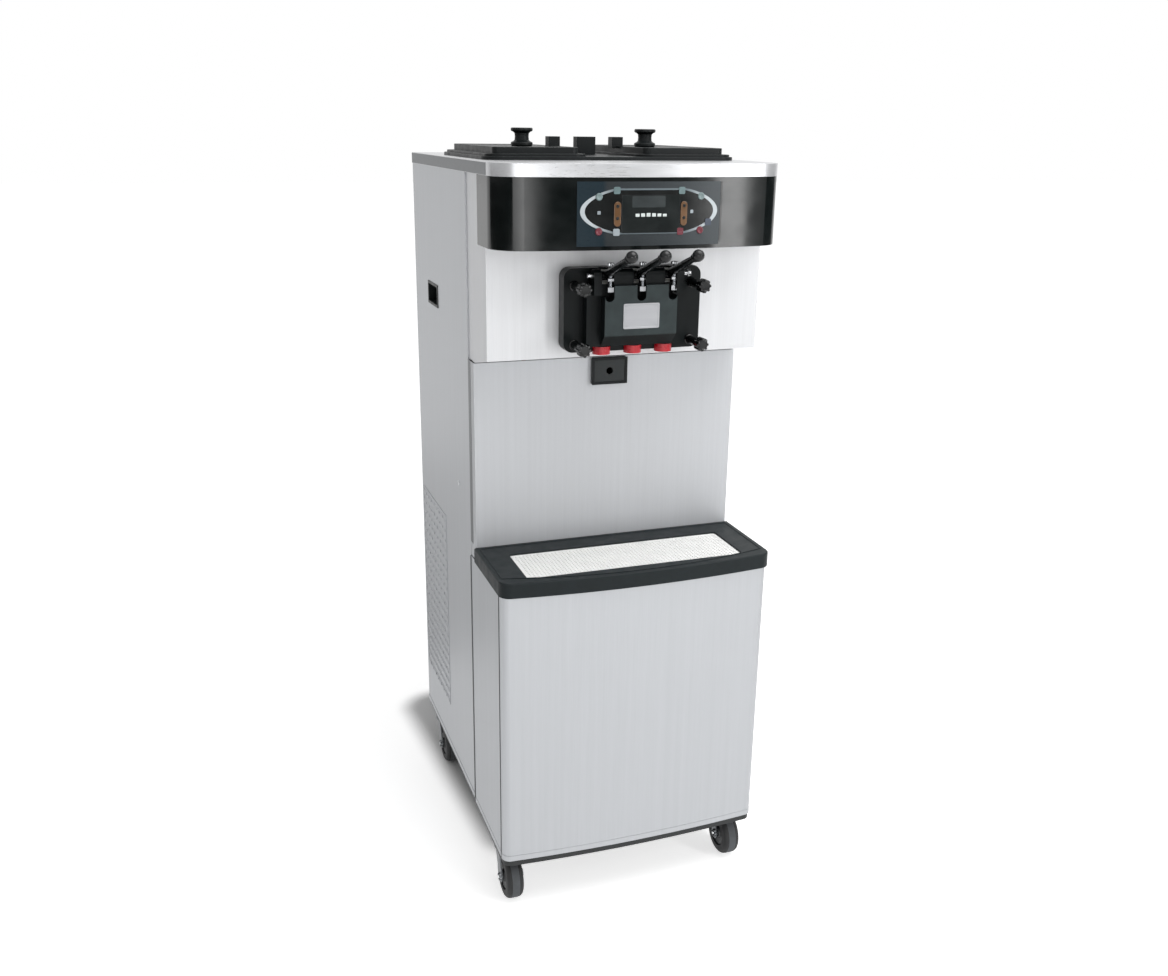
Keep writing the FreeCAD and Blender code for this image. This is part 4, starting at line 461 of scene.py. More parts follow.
class Piece:
    """A mesh while it is modelled: a primitive, then edit-mode steps and applied modifiers."""

    rim_angle = math.radians(60)
    smooth_angle = math.radians(35)

    def __init__(self, obj: bpy.types.Object) -> None:
        """Take a mesh object to work on."""
        self.obj = obj

    @classmethod
    def adopt(cls, name: str) -> "Piece":
        """Take over the primitive that was just added, with its place put into its mesh.

        Args:
            name: Name of the piece.

        Returns:
            The piece.
        """
        obj = bpy.context.object
        obj.name = obj.data.name = name
        bpy.ops.object.transform_apply(location=True, rotation=True, scale=True)
        return cls(obj)

    @classmethod
    def cube(cls, name: str, first: Sequence[float], second: Sequence[float]) -> "Piece":
        """Start from a cube stretched between two opposite corners.

        Args:
            name: Name of the piece.
            first: One corner.
            second: The other corner.

        Returns:
            The piece.
        """
        rest()
        low, high = ([pick(pair) for pair in zip(first, second)] for pick in (min, max))
        bpy.ops.mesh.primitive_cube_add(size=1, location=[(a + b) / 2 for a, b in zip(low, high)])
        bpy.context.object.scale = [b - a for a, b in zip(low, high)]
        return cls.adopt(name)

    @classmethod
    def sheet(cls, name: str, width: float, height: float, centre: Point, facing: Point) -> "Piece":
        """Start from a flat plane.

        Args:
            name: Name of the piece.
            width: Size along the plane's X before it is turned.
            height: Size along the plane's Y before it is turned.
            centre: Middle of the plane.
            facing: Direction of its normal.

        Returns:
            The piece.
        """
        rest()
        bpy.ops.mesh.primitive_plane_add(size=1)
        plane = bpy.context.object
        plane.scale = (width, height, 1)
        plane.rotation_mode = "QUATERNION"
        plane.rotation_quaternion = Vector(facing).to_track_quat("Z", "Y")
        plane.location = centre
        return cls.adopt(name)

    @classmethod
    def turned(cls, name: str, profile: Profile, foot: Point, axis: Point, sides: int) -> "Piece":
        """Turn a solid as on a lathe, ring by ring.

        Args:
            name: Name of the piece.
            profile: Radius and distance along the axis, from one end to the other.
            foot: Point that the distances are measured from.
            axis: Direction of the axis.
            sides: Faces round the axis.

        Returns:
            The piece.
        """
        rest()
        radius, start = profile[0]
        bpy.ops.mesh.primitive_circle_add(vertices=sides, radius=radius, fill_type="NGON", location=(0, 0, start))
        piece = cls.adopt(name)
        piece.edit()
        bpy.ops.mesh.select_all(action="SELECT")
        for (r0, z0), (r1, z1) in zip(profile, profile[1:]):
            piece.extrude((0, 0, z1 - z0)).resize((r1 / r0, r1 / r0, 1), (0, 0, z1))
        bpy.ops.mesh.select_all(action="SELECT")
        bpy.ops.mesh.normals_make_consistent(inside=False)
        turn = Vector(UPWARD).rotation_difference(Vector(axis)).to_matrix().to_4x4()
        piece.grab()
        piece.obj.matrix_world = Matrix.Translation(foot) @ turn
        bpy.ops.object.transform_apply(location=True, rotation=True, scale=True)
        return piece

    @classmethod
    def from_node(cls, name: str, node: str) -> "Piece":
        """Start from a copy of a CAD node, merged and with its flat faces made whole.

        Args:
            name: Name of the piece.
            node: Name of the CAD node.

        Returns:
            The piece.
        """
        rest()
        obj = bpy.data.objects.new(name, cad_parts[node].data.copy())
        bpy.context.scene.collection.objects.link(obj)
        piece = cls(obj)
        piece.grab()
        bpy.ops.mesh.customdata_custom_splitnormals_clear()
        piece.edit()
        bpy.ops.mesh.select_all(action="SELECT")
        bpy.ops.mesh.remove_doubles(threshold=MERGE)
        bpy.ops.mesh.dissolve_limited(angle_limit=WHOLE_FACE)
        return piece

    def grab(self) -> "Piece":
        """Select this piece alone, in object mode."""
        rest()
        self.obj.select_set(True)
        bpy.context.view_layer.objects.active = self.obj
        return self

    def edit(self) -> None:
        """Enter edit mode on this piece alone."""
        if bpy.context.object is not self.obj or self.obj.mode != "EDIT":
            self.grab()
            bpy.ops.object.mode_set(mode="EDIT")

    def _mark(self, kind: str, chosen: Callable[[bmesh.types.BMesh], list]) -> "Piece":
        """Select some parts of the mesh and nothing else.

        Args:
            kind: "FACE", "EDGE" or "VERT".
            chosen: Gives the parts out of the edit mesh.

        Returns:
            This piece.
        """
        self.edit()
        bpy.ops.mesh.select_mode(type=kind)
        bpy.ops.mesh.select_all(action="DESELECT")
        mesh = bmesh.from_edit_mesh(self.obj.data)
        mesh.normal_update()
        for part in chosen(mesh):
            part.select_set(True)
        mesh.select_flush_mode()
        bmesh.update_edit_mesh(self.obj.data)
        return self

    def faces(self, test: Test = lambda c, n: True) -> "Piece":
        """Select the faces whose centre and normal pass a test."""
        return self._mark("FACE", lambda m: [f for f in m.faces if test(f.calc_center_median(), f.normal)])

    def facing(self, direction: Point, centre: Point = (0, 0, 0), reach: float = math.inf) -> "Piece":
        """Select the faces that face a direction, within reach of the axis through a centre."""
        way, foot = Vector(direction), Vector(centre)
        return self.faces(lambda c, n: n.dot(way) > 0.9 and (c - foot).cross(way).length < reach)

    def edges(self, test: Test = lambda a, b: True) -> "Piece":
        """Select the edges whose two ends pass a test."""
        return self._mark("EDGE", lambda m: [e for e in m.edges if test(e.verts[0].co, e.verts[1].co)])

    def points(self, test: Callable[[Vector], bool] = lambda p: True) -> "Piece":
        """Select the points that pass a test."""
        return self._mark("VERT", lambda m: [v for v in m.verts if test(v.co)])

    def rims(self, test: Test = lambda a, b: True) -> "Piece":
        """Select the sharp edges whose two ends pass a test."""
        return self._mark("EDGE", lambda m: [e for e in m.edges if e.calc_face_angle(0) > self.rim_angle
                                             and test(e.verts[0].co, e.verts[1].co)])

    def extrude(self, step: Point) -> "Piece":
        """Extrude the selection by a step."""
        bpy.ops.mesh.extrude_region_move(TRANSFORM_OT_translate={"value": step})
        return self

    def inset(self, width: float, depth: float = 0.0) -> "Piece":
        """Inset the selected faces, raised by a depth."""
        bpy.ops.mesh.inset(thickness=width, depth=depth, use_even_offset=True)
        return self

    def bevel(self, width: float, segments: int = 2) -> "Piece":
        """Round the selected edges."""
        bpy.ops.mesh.bevel(offset=width, segments=segments, affect="EDGES", clamp_overlap=True)
        return self

    def rounded(self, axis: int, radius: float, segments: int) -> "Piece":
        """Round a cube's edges that run along an axis."""
        return self.edges(lambda a, b: abs(a[axis] - b[axis]) > 1e-4).bevel(radius, segments)

    def resize(self, factors: Point, centre: Point) -> "Piece":
        """Scale the selection about a point."""
        bpy.ops.transform.resize(value=factors, center_override=centre)
        return self

    def shift(self, step: Point) -> "Piece":
        """Move the selection by a step."""
        bpy.ops.transform.translate(value=step)
        return self

    def drop(self) -> "Piece":
        """Delete the selected faces."""
        bpy.ops.mesh.delete(type="FACE")
        return self

    def framed(self, width: float, height: float, edge: float) -> "Piece":
        """Make a raised frame out of a flat sheet's border, with its edges rounded."""
        self.faces().inset(width).drop()
        return self.modify("SOLIDIFY", thickness=height, offset=1.0).rims().bevel(edge)

    def slice(self, axis: int, places: Sequence[float]) -> "Piece":
        """Cut the mesh across an axis without parting it.

        Args:
            axis: 0, 1 or 2.
            places: Where along the axis the cuts go.

        Returns:
            This piece.
        """
        self.edit()
        normal = tuple(float(index == axis) for index in range(3))
        for place in places:
            bpy.ops.mesh.select_all(action="SELECT")
            bpy.ops.mesh.bisect(plane_co=[place * n for n in normal], plane_no=normal)
        return self

    def modify(self, kind: str, **settings: object) -> "Piece":
        """Add a modifier with its settings, and apply it."""
        self.grab()
        bpy.ops.object.modifier_apply(modifier=add_modifier(self.obj, kind, **settings))
        return self

    def repeat(self, count: int, step: Point) -> "Piece":
        """Repeat the mesh in a row."""
        return self.modify("ARRAY", count=count, use_relative_offset=False, use_constant_offset=True,
                           constant_offset_displace=step)

    def carve(self, tool: "Piece") -> "Piece":
        """Cut another piece's shape out of this one, and remove that piece."""
        self.modify("BOOLEAN", object=tool.obj, operation="DIFFERENCE", solver="EXACT")
        bpy.data.objects.remove(tool.obj)
        return self

    def join(self, *others: "Piece") -> "Piece":
        """Make other pieces part of this one."""
        self.grab()
        for other in others:
            other.obj.select_set(True)
        bpy.ops.object.join()
        return self

    def copy(self, name: str, step: Point) -> "Piece":
        """Copy the piece, with its own mesh, by a step.

        Args:
            name: Name of the copy.
            step: Way from this piece to the copy.

        Returns:
            The copy.
        """
        rest()
        obj = self.obj.copy()
        obj.data = self.obj.data.copy()
        obj.name = obj.data.name = name
        obj.data.transform(Matrix.Translation(step))
        bpy.context.scene.collection.objects.link(obj)
        return Piece(obj)

    def finish(self, body: str, look: Finish, *stands_for: str) -> "Piece":
        """Shade the piece, give it its finish and seat it on its body.

        Args:
            body: CAD body that it rides on.
            look: Its finish.
            stands_for: CAD nodes that it replaces.

        Returns:
            This piece.
        """
        self.grab()
        bpy.ops.object.shade_smooth_by_angle(angle=self.smooth_angle)
        self.modify("WEIGHTED_NORMAL", keep_sharp=True)
        self.obj.data.materials.clear()
        self.obj.data.materials.append(look.material())
        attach(self.obj, body)
        if stands_for:
            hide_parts(*stands_for)
        log.info("%s: %d faces, rides on %s", self.obj.name, len(self.obj.data.polygons), body)
        return self


def dress(node: str, look: Finish, edge: float = 0.0) -> None:
    """Give a CAD node its finish, and soften its edges with modifiers.

    Args:
        node: Name of the CAD node.
        look: Its finish.
        edge: Width of the softened edges, or 0 to leave them.
    """
    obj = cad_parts[node]
    for slot in obj.material_slots:
        slot.material = look.material()
    if not obj.material_slots:
        obj.data.materials.append(look.material())
    if edge:
        add_modifier(obj, "WELD", merge_threshold=MERGE)
        add_modifier(obj, "DECIMATE", decimate_type="DISSOLVE", angle_limit=WHOLE_FACE)
        add_modifier(obj, "BEVEL", width=edge, segments=2, limit_method="ANGLE", angle_limit=math.radians(30))
        add_modifier(obj, "WEIGHTED_NORMAL", keep_sharp=True)
    log.info("%s: %s", node, look.name)


@dataclass
class Cabinet:
    """Stainless skins, base frame, vents, pulls and screws."""

    edge: float = 0.0007
    slot: float = 0.020
    hood_length: float = 0.022
    hood_height: float = 0.0085
    hood_proud: float = 0.0026
    hood_lip: float = 0.0006
    hood_drop: float = 0.0005
    hood_slope: float = 0.85
    hood_round: float = 0.4
    hood_hollow: float = 0.55
    vent_columns: int = 8
    vent_rows: int = 20
    vent_pitch: tuple[float, float] = (0.030, 0.024)
    vent_corner: tuple[float, float] = (0.1585, 0.250)
    border: float = 0.004
    border_margin: float = 0.008
    border_height: float = 0.0012
    louvre_rows: int = 14
    louvre_pitch: float = 0.030
    louvre_bottom: float = 0.260
    louvre_half: float = 0.161
    hem: float = 0.012
    hem_spread: float = 1.0015
    fold_y: float = -0.3135
    fold: float = 0.0035
    # Depth and overlap of the painted-shade strip at the box panel's rear seam.
    seal: float = 0.0065
    seal_lap: float = 0.0006
    trim_front: float = -0.25
    trim_height: float = 0.0215
    trim_drop: float = 0.0012
    trim_short: float = 0.0006
    # Width of the painted-shade strip on the front panel's return.
    seam_trim: float = 0.020
    seam_gap: float = 0.0004
    bar_edge: float = 0.0004
    side_screw: Point = (0.281, 0.0125, 0.842)
    rear_screw_x: float = 0.2715
    rear_screw_heights: tuple[float, ...] = (0.215, 0.8133, 1.4366)
    recess_half: float = 0.0026
    recess_width_half: float = 0.0005
    recess_floor: float = 0.0014
    recess_top: float = 0.004

    def build(self) -> None:
        """Dress the skins and model the vents, hems, the deck's darker edge strips, strips of painted shade at the
        seams and the screw heads.
        """
        # The lower front panel and the head shell take lighter, painted-light copies of the stainless.
        looks = {"left_side_panel": STEEL, "right_side_panel": STEEL, "rear_panel": STEEL,
                 "lower_box_panel": STEEL, "lower_front_panel": STEEL_FRONT_PAINTED_LIT, "head_shell": STEEL_HEAD_PAINTED_LIT,
                 "top_deck": STEEL_DECK, "chassis_frame": FRAME_PAINT, "side_pulls": BLACK_PLASTIC,
                 "cord_gland": GASKET}
        for node, look in looks.items():
            dress(node, look, self.edge)
        for side in Side:
            self.vents(side)
            self.bars(side)
        self.box_hem()
        self.louvres()
        self.screws()

    def hood(self, name: str, length: float, outward: Point) -> Piece:
        """Model one pressed louvre hood at the origin, open at its bottom.

        Args:
            name: Name of the piece.
            length: Its length along the panel.
            outward: Direction away from the panel, along X or Y.

        Returns:
            The hood, with its back in the panel's face.
        """
        out = Vector(outward)
        along = Vector((abs(out.y), abs(out.x), 0))
        far = out * self.hood_proud
        half = along * length / 2
        hood = Piece.cube(name, -half, half + far + Vector((0, 0, self.hood_height)))
        hood.edges(lambda a, b: min(a.z, b.z) > self.hood_height * 0.9 and min(a.dot(out), b.dot(out)) > 1e-4)
        hood.shift(tuple(-far * self.hood_slope))
        hood.edges(lambda a, b: (a - b).dot(along) ** 2 < 1e-8 and min(a.dot(out), b.dot(out)) > 2e-4)
        hood.bevel(self.hood_proud * self.hood_round, 1)
        hollow = self.hood_height * self.hood_hollow
        return hood.facing((0, 0, -1)).inset(self.hood_lip).extrude((0, 0, hollow))

    def vents(self, side: Side) -> None:
        """Model a side panel's field of louvre hoods and the pressed border round it.

        Args:
            side: Which side panel.
        """
        face, outward = side.outer(f"{side.word}_side_panel"), (side.value, 0, 0)
        y0, z0 = self.vent_corner
        step_y, step_z = self.vent_pitch
        hood = self.hood(f"{side.word}_vent_hoods", self.hood_length, outward)
        hood.points().shift((face, y0 + self.slot / 2, z0 - self.hood_drop))
        hood.repeat(self.vent_columns, (0, step_y, 0)).repeat(self.vent_rows, (0, 0, step_z))
        hood.finish("cabinet", STEEL)
        long = (self.vent_columns - 1) * step_y + self.slot + 2 * self.border_margin
        tall = (self.vent_rows - 1) * step_z + self.hood_height + 2 * self.border_margin
        centre = (face, y0 - self.border_margin + long / 2, z0 - self.border_margin + tall / 2)
        border = Piece.sheet(f"{side.word}_vent_border", long, tall, centre, outward)
        border.framed(self.border, self.border_height, self.bar_edge).finish("cabinet", STEEL)

    def bars(self, side: Side) -> None:
        """Model a side's slim bars: the panel's hem, strips of painted shade along the box panel's fold and rear
        seam, a darker steel strip on the deck's edge and a strip of painted shade on the front panel's return.

        Args:
            side: Which side.
        """
        panel = f"{side.word}_side_panel"
        skin, box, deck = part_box(panel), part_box("lower_box_panel"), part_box("top_deck")
        foot, top, seam = box[0].z - self.hem, deck[1].z - self.trim_drop, skin[0].y - self.seam_gap
        # The strips along the box panel's fold and rear seam are painted shade for the shadow gaps there; the strip
        # on the front panel's return is painted shade too.
        bars = (("side_hem", panel, (0.0002, 0.0010), STEEL,
                 (skin[0].y, skin[0].z - self.hem), (skin[1].y, skin[0].z)),
                ("box_fold", "lower_box_panel", (0.0004, 0.0009), SEAM_SHADE_STRIP,
                 (self.fold_y, foot), (self.fold_y + self.fold, box[1].z)),
                ("box_seal", "lower_box_panel", (0.0004, 0.0009), SEAM_SHADE_STRIP,
                 (box[1].y - self.seal, foot), (box[1].y + self.seal_lap, box[1].z)),
                ("deck_trim", "top_deck", (0.0004, 0.0005), STEEL_TRIM_AND_SHADE,
                 (self.trim_front, top - self.trim_height), (deck[1].y - self.trim_short, top)),
                ("front_trim", "lower_front_panel", (0.0004, 0.0005), STEEL_TRIM_AND_SHADE,
                 (seam - self.seam_trim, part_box("drip_tray")[1].z), (seam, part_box("head_shell")[0].z)))
        for name, node, (sunk, proud), look, low, high in bars:
            outer = side.outer(node)
            bar = Piece.cube(f"{side.word}_{name}", (outer - side.value * sunk, *low),
                             (outer + side.value * proud, *high))
            bar.rims().bevel(self.bar_edge).finish("cabinet", look)

    def box_hem(self) -> None:
        """Cut the lowest strip off a copy of the box panel, and hang it below the panel as its hem."""
        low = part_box("lower_box_panel")[0].z
        hem = Piece.from_node("box_hem", "lower_box_panel").faces()
        bpy.ops.mesh.bisect(plane_co=(0, 0, low + self.hem), plane_no=UPWARD, clear_outer=True, use_fill=True)
        hem.points().shift((0, 0, -self.hem))
        hem.points().resize((self.hem_spread, self.hem_spread, 1), (0, -0.2, low))
        hem.finish("cabinet", STEEL)

    def louvres(self) -> None:
        """Model the rear panel's rows of long louvre hoods."""
        hood = self.hood("rear_louvre_hoods", 2 * self.louvre_half, BACKWARD)
        hood.points().shift((0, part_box("rear_panel")[1].y, self.louvre_bottom - self.hood_drop))
        hood.repeat(self.louvre_rows, (0, 0, self.louvre_pitch)).finish("cabinet", STEEL)

    def screws(self) -> None:
        """Model the panel screws, and join them to one piece."""
        x, y, z = self.side_screw
        rear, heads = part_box("rear_panel")[1].y, []
        for side in Side:
            heads.append(self.screw((side.value * x, y, z), (side.value, 0, 0)))
            heads += [self.screw((side.value * self.rear_screw_x, rear, height), BACKWARD)
                      for height in self.rear_screw_heights]
        heads[0].join(*heads[1:]).finish("cabinet", SCREW_STEEL, "panel_screws")

    def screw(self, place: Point, axis: Point) -> Piece:
        """Model one domed screw head with a cross recess.

        Args:
            place: Its seat on the panel.
            axis: Direction that it faces.

        Returns:
            The head.
        """
        dome = [(0.0050, -0.0002), (0.0050, 0.0009), (0.0043, 0.0018), (0.0028, 0.0023), (0.0008, 0.0024)]
        head = Piece.turned("panel_screw_heads", dome, place, axis, 20)
        out, seat = Vector(axis), Vector(place)
        flat, upright = Vector((abs(out.y), abs(out.x), 0)), Vector(UPWARD)
        for long, narrow in ((flat, upright), (upright, flat)):
            slot, wide = long * self.recess_half, narrow * self.recess_width_half
            head.carve(Piece.cube("recess", seat + out * self.recess_floor - slot - wide,
                                  seat + out * self.recess_top + slot + wide))
        return head


@dataclass
class ControlBand:
    """Bowed gloss band with its film, display, lamps and keys."""

    half: float = 0.2815
    corner_y: float = -0.2545
    bow: float = 0.076
    corner_radius: float = 0.060
    film: float = 0.0012
    middle_z: float = 1.4283
    lens_half: float = 0.1325
    lens_height: float = 0.0460
    lens_flat: float = 0.0395
    lens_inner: tuple[float, float] = (0.935, 0.925)
    field_inner: tuple[float, float] = (0.95, 0.94)
    print_lift: float = 0.0003
    column: float = 0.012
    key_places: tuple[str, ...] = ("left_top", "left_bottom", "right_top", "right_bottom")
    key_hole: float = 0.0069
    key_flange: float = 0.0084
    key_radius: float = 0.0065
    screen_low: tuple[float, float] = (-0.037, 1.4350)
    screen_high: tuple[float, float] = (0.027, 1.4545)
    screen_lift: float = 0.0012
    bars: int = 6
    bar_low: tuple[float, float] = (-0.030, 1.4190)
    bar_top: float = 1.4255
    bar_step: float = 0.0006
    bar_pitch: float = 0.0105
    bar_width: float = 0.0075
    edge_low: tuple[float, float] = (0.1385, 1.3725)
    edge_high: tuple[float, float] = (0.1425, 1.4790)
    edge_sink: float = 0.0008
    lamp_x: float = 0.064
    lamp_lift: float = 0.0019
    stud_heights: tuple[tuple[str, float], ...] = (("upper", 1.4375), ("lower", 1.4165))

    def face_y(self, x: float) -> float:
        """Depth of the band's face.

        Args:
            x: Distance from the middle.

        Returns:
            The face's Y.
        """
        span, rise = self.half - self.corner_radius, self.bow - self.corner_radius
        centre = (span ** 2 - rise ** 2) / (2 * rise)
        return self.corner_y + centre - math.sqrt((centre + self.bow) ** 2 - x ** 2)

    def lay(self, piece: Piece, lift_off: float) -> Piece:
        """Lay a flat piece on the band's curve.

        Args:
            piece: A piece made in the XZ plane, at Y 0.
            lift_off: Its distance from the film's face.

        Returns:
            The piece.
        """
        rest()
        for x in sorted({round(point.co.x, 6) for point in piece.obj.data.vertices}):
            column = piece.points(lambda p: round(p.x, 6) == x)
            column.shift((0, self.face_y(x) - self.film - lift_off, 0))
        return piece

    def build(self) -> None:
        """Dress the band and model what is on it."""
        dress("control_fascia", BAND_BLACK, 0.0008)
        dress("control_overlay", FILM, 0.0003)
        dress("display_window", DISPLAY, 0.0004)
        self.lens()
        self.screen()
        self.lamps()
        self.keys()
        self.prints()

    def outline(self, name: str, filling: str) -> Piece:
        """Model the lens outline, flat in the XZ plane.

        Args:
            name: Name of the piece.
            filling: "NGON" to fill the outline with a face, or "NOTHING".

        Returns:
            The outline.
        """
        rest()
        bpy.ops.mesh.primitive_circle_add(vertices=96, radius=1.0, fill_type=filling, rotation=(math.pi / 2, 0, 0))
        bpy.context.object.scale = (self.lens_half, self.lens_height, 1)
        bpy.context.object.location = (0, 0, self.middle_z)
        ring = Piece.adopt(name)
        for sign in (-1, 1):
            level = self.middle_z + sign * self.lens_flat
            ring.points(lambda p: (p.z - level) * sign > 0).resize((1, 1, 0), (0, 0, level))
        return ring

    def lens(self) -> None:
        """Model the dark lens field and its pale outline on the film."""
        middle = (0, 0, self.middle_z)
        field = self.outline("lens_field", "NGON")
        field.points().resize((self.field_inner[0], 1, self.field_inner[1]), middle)
        field.slice(0, [index * self.column for index in range(-10, 11)])
        self.lay(field, self.print_lift / 2).modify("SOLIDIFY", thickness=0.0002, offset=0.0)
        self.key_holes(field).finish("cabinet", LENS_FIELD)
        ring = self.outline("lens_ring", "NOTHING").edges()
        ring.extrude((0, 0, 0)).resize((self.lens_inner[0], 1, self.lens_inner[1]), middle)
        self.lay(ring, self.print_lift).modify("SOLIDIFY", thickness=0.0005, offset=0.0)
        ring.rims().bevel(0.0002, 1)
        self.key_holes(ring).finish("cabinet", LENS_RING)

    def key_holes(self, piece: Piece) -> Piece:
        """Punch the holes that the push keys move in.

        Args:
            piece: A print on the film.

        Returns:
            The print.
        """
        for place in self.key_places:
            low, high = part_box(f"key_{place}")
            middle = (low + high) / 2
            piece.carve(Piece.turned("punch", [(self.key_hole, 0.0), (self.key_hole, 0.04)],
                                     (middle.x, low.y - 0.01, middle.z), BACKWARD, 28))
        return piece

    def strip(self, name: str, low: tuple[float, float], high: tuple[float, float], lift_off: float,
              look: Finish, corner: float = 0.0) -> None:
        """Model a thin flat patch that follows the band.

        Args:
            name: Name of the piece.
            low: X and Z of its lower left corner.
            high: X and Z of its upper right corner.
            lift_off: Distance from the film's face.
            look: Its finish.
            corner: Radius of its corners.
        """
        (x0, z0), (x1, z1) = low, high
        patch = Piece.cube(name, (x0, -0.0005, z0), (x1, 0.0, z1))
        if corner:
            patch.rounded(1, corner, 4)
        count = max(1, int((x1 - x0) / self.column))
        patch.slice(0, [x0 + (x1 - x0) * (index + 1) / (count + 1) for index in range(count)])
        self.lay(patch, lift_off).rims().bevel(0.00015, 1)
        patch.finish("cabinet", look)

    def screen(self) -> None:
        """Model the display's screen, a plain row of level bars below it and the film's dark edge."""
        self.strip("display_screen", self.screen_low, self.screen_high, self.screen_lift, SCREEN, 0.002)
        left, low = self.bar_low
        for index in range(self.bars):
            x, top = left + index * self.bar_pitch, self.bar_top - self.bar_step * abs(2 - index)
            self.strip(f"level_bar_{index}", (x, low), (x + self.bar_width, top), self.screen_lift, READOUT, 0.0008)
        self.strip("film_edge", self.edge_low, self.edge_high, -self.edge_sink, LENS_FIELD)

    def lamps(self) -> None:
        """Dress the amber lamps and set two dark studs on each."""
        dress("indicator_lamps", AMBER, 0.0008)
        profile = [(0.0030, 0.0), (0.0030, 0.0006), (0.0022, 0.0012), (0.0008, 0.0014)]
        for side in Side:
            x = side.value * self.lamp_x
            for name, z in self.stud_heights:
                stud = Piece.turned(f"{side.word}_lamp_stud_{name}", profile,
                                    (x, self.face_y(x) - self.film - self.lamp_lift, z), FORWARD, 20)
                stud.finish("cabinet", LENS_FIELD)

    def keys(self) -> None:
        """Model the push keys as dished caps on the frame's keys."""
        for place in self.key_places:
            node = f"key_{place}"
            low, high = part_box(node)
            centre, tall = (low + high) / 2, high.y - low.y
            profile = [(self.key_flange, tall), (self.key_flange, tall - 0.002), (self.key_radius, tall - 0.0021),
                       (self.key_radius, 0.0010), (0.0058, 0.0002), (0.0046, 0.0), (0.0040, 0.0005),
                       (0.0012, 0.0009)]
            cap = Piece.turned(f"{node}_cap", profile, (centre.x, low.y, centre.z), BACKWARD, 28)
            cap.finish(node, KEY_RED if place.endswith("bottom") else KEY_PLASTIC, node)

    def prints(self) -> None:
        """Model the small printed pads round the lens, and a mark at each end of it."""
        pad, mark = (0.0062, 0.0011, 0.0026), (0.0030, 0.0006, 0.001)
        prints = (("pad_upper_left", -0.0655, 1.4645, pad, PRINT_TEAL),
                  ("pad_upper_right", 0.0590, 1.4640, pad, PRINT_TEAL),
                  ("pad_lower_left", -0.0655, 1.3925, pad, PRINT_PALE),
                  ("pad_lower_right", 0.0580, 1.3925, pad, KEY_RED),
                  ("pad_far_right", 0.1140, 1.4080, pad, PRINT_BLUE),
                  ("mark_left", -0.0980, 1.4265, mark, PRINT_PALE),
                  ("mark_right", 0.0800, 1.4270, mark, PRINT_PALE))
        for name, x, z, (half, lift_off, corner), look in prints:
            self.strip(name, (x - half, z - half), (x + half, z + half), lift_off, look, corner)


@dataclass
class FreezerDoor:
    """Black door with its plain plate, hand screws, pin, spout caps and valves."""

    block_y: float = -0.2995
    plate_half: float = 0.036
    plate_low: float = 1.2130
    plate_high: float = 1.2600
    plate: float = 0.0016
    screw_x: float = 0.118
    screw_heights: tuple[float, float] = (1.180, 1.290)
    flange_y: float = -0.2565
    neck: float = 0.047
    flutes: int = 8
    flute: float = 0.83
    flute_angle: float = 9.0
    flute_reach: float = 0.0105

    def build(self) -> None:
        """Dress the door and model what is fixed to it."""
        dress("freezer_door", DOOR_PLASTIC, 0.0011)
        dress("door_gaskets", GASKET)
        dress("pivot_pin", SCREW_STEEL, 0.0006)
        dress("spout_caps", RED_CAP, 0.0008)
        for spout in Spout:
            dress(f"draw_valve_{spout.word}", VALVE_PLASTIC)
        self.plain_plate()
        self.hand_screws()

    def plain_plate(self) -> None:
        """Model the plain plate on the door's front."""
        front = self.block_y - self.plate
        plate = Piece.cube("door_plate", (-self.plate_half, front, self.plate_low),
                           (self.plate_half, self.block_y, self.plate_high)).rounded(1, 0.003, 4)
        plate.facing(FORWARD).inset(0.0028).inset(0.0006, -0.0005)
        plate.rims(lambda a, b: max(a.y, b.y) < front + 1e-4).bevel(0.0003)
        plate.faces(lambda c, n: n.y < -0.9 and abs(c.x) < 1e-3 and c.y > front + 4e-4)
        bpy.ops.mesh.poke()
        plate.finish("cabinet", PLATE)

    def hand_screws(self) -> None:
        """Model one fluted hand screw, and copy it to the four corners."""
        stem = [(0.0040, -0.038), (0.0040, 0.0), (0.0098, 0.0002), (0.0098, 0.003), (0.0080, 0.0045),
                (0.0074, 0.030)]
        knob = [(0.0082, -0.002), (0.0112, 0.0), (0.0130, 0.0018), (0.0130, 0.0172), (0.0118, 0.0192),
                (0.0082, 0.0200), (0.0074, 0.0192), (0.0020, 0.0190)]
        x0, _, z0 = first = (-self.screw_x, self.flange_y, self.screw_heights[0])
        profile = stem + [(radius, self.neck + along) for radius, along in knob]
        screw = Piece.turned("hand_screw_left_low", profile, first, FORWARD, 48)

        def in_flute(point: Vector) -> bool:
            """Tell whether a point lies at the bottom of one of the knob's flutes."""
            x, z, pitch = point.x - x0, point.z - z0, 360 / self.flutes
            turn = math.degrees(math.atan2(z, x)) % pitch
            return (point.y < self.flange_y - self.neck - 0.001 and math.hypot(x, z) > self.flute_reach
                    and abs(turn - pitch / 2) < self.flute_angle)

        screw.points(in_flute).resize((self.flute, 1, self.flute), (x0, 0, z0))
        copies = [screw.copy(f"hand_screw_{side.word}_{name}", (side.value * self.screw_x - x0, 0, z - z0))
                  for side in Side for name, z in zip(("low", "high"), self.screw_heights)
                  if (side, name) != (Side.LEFT, "low")]
        for piece in [screw, *copies]:
            piece.finish("cabinet", LEVER_PLASTIC, "hand_screws")


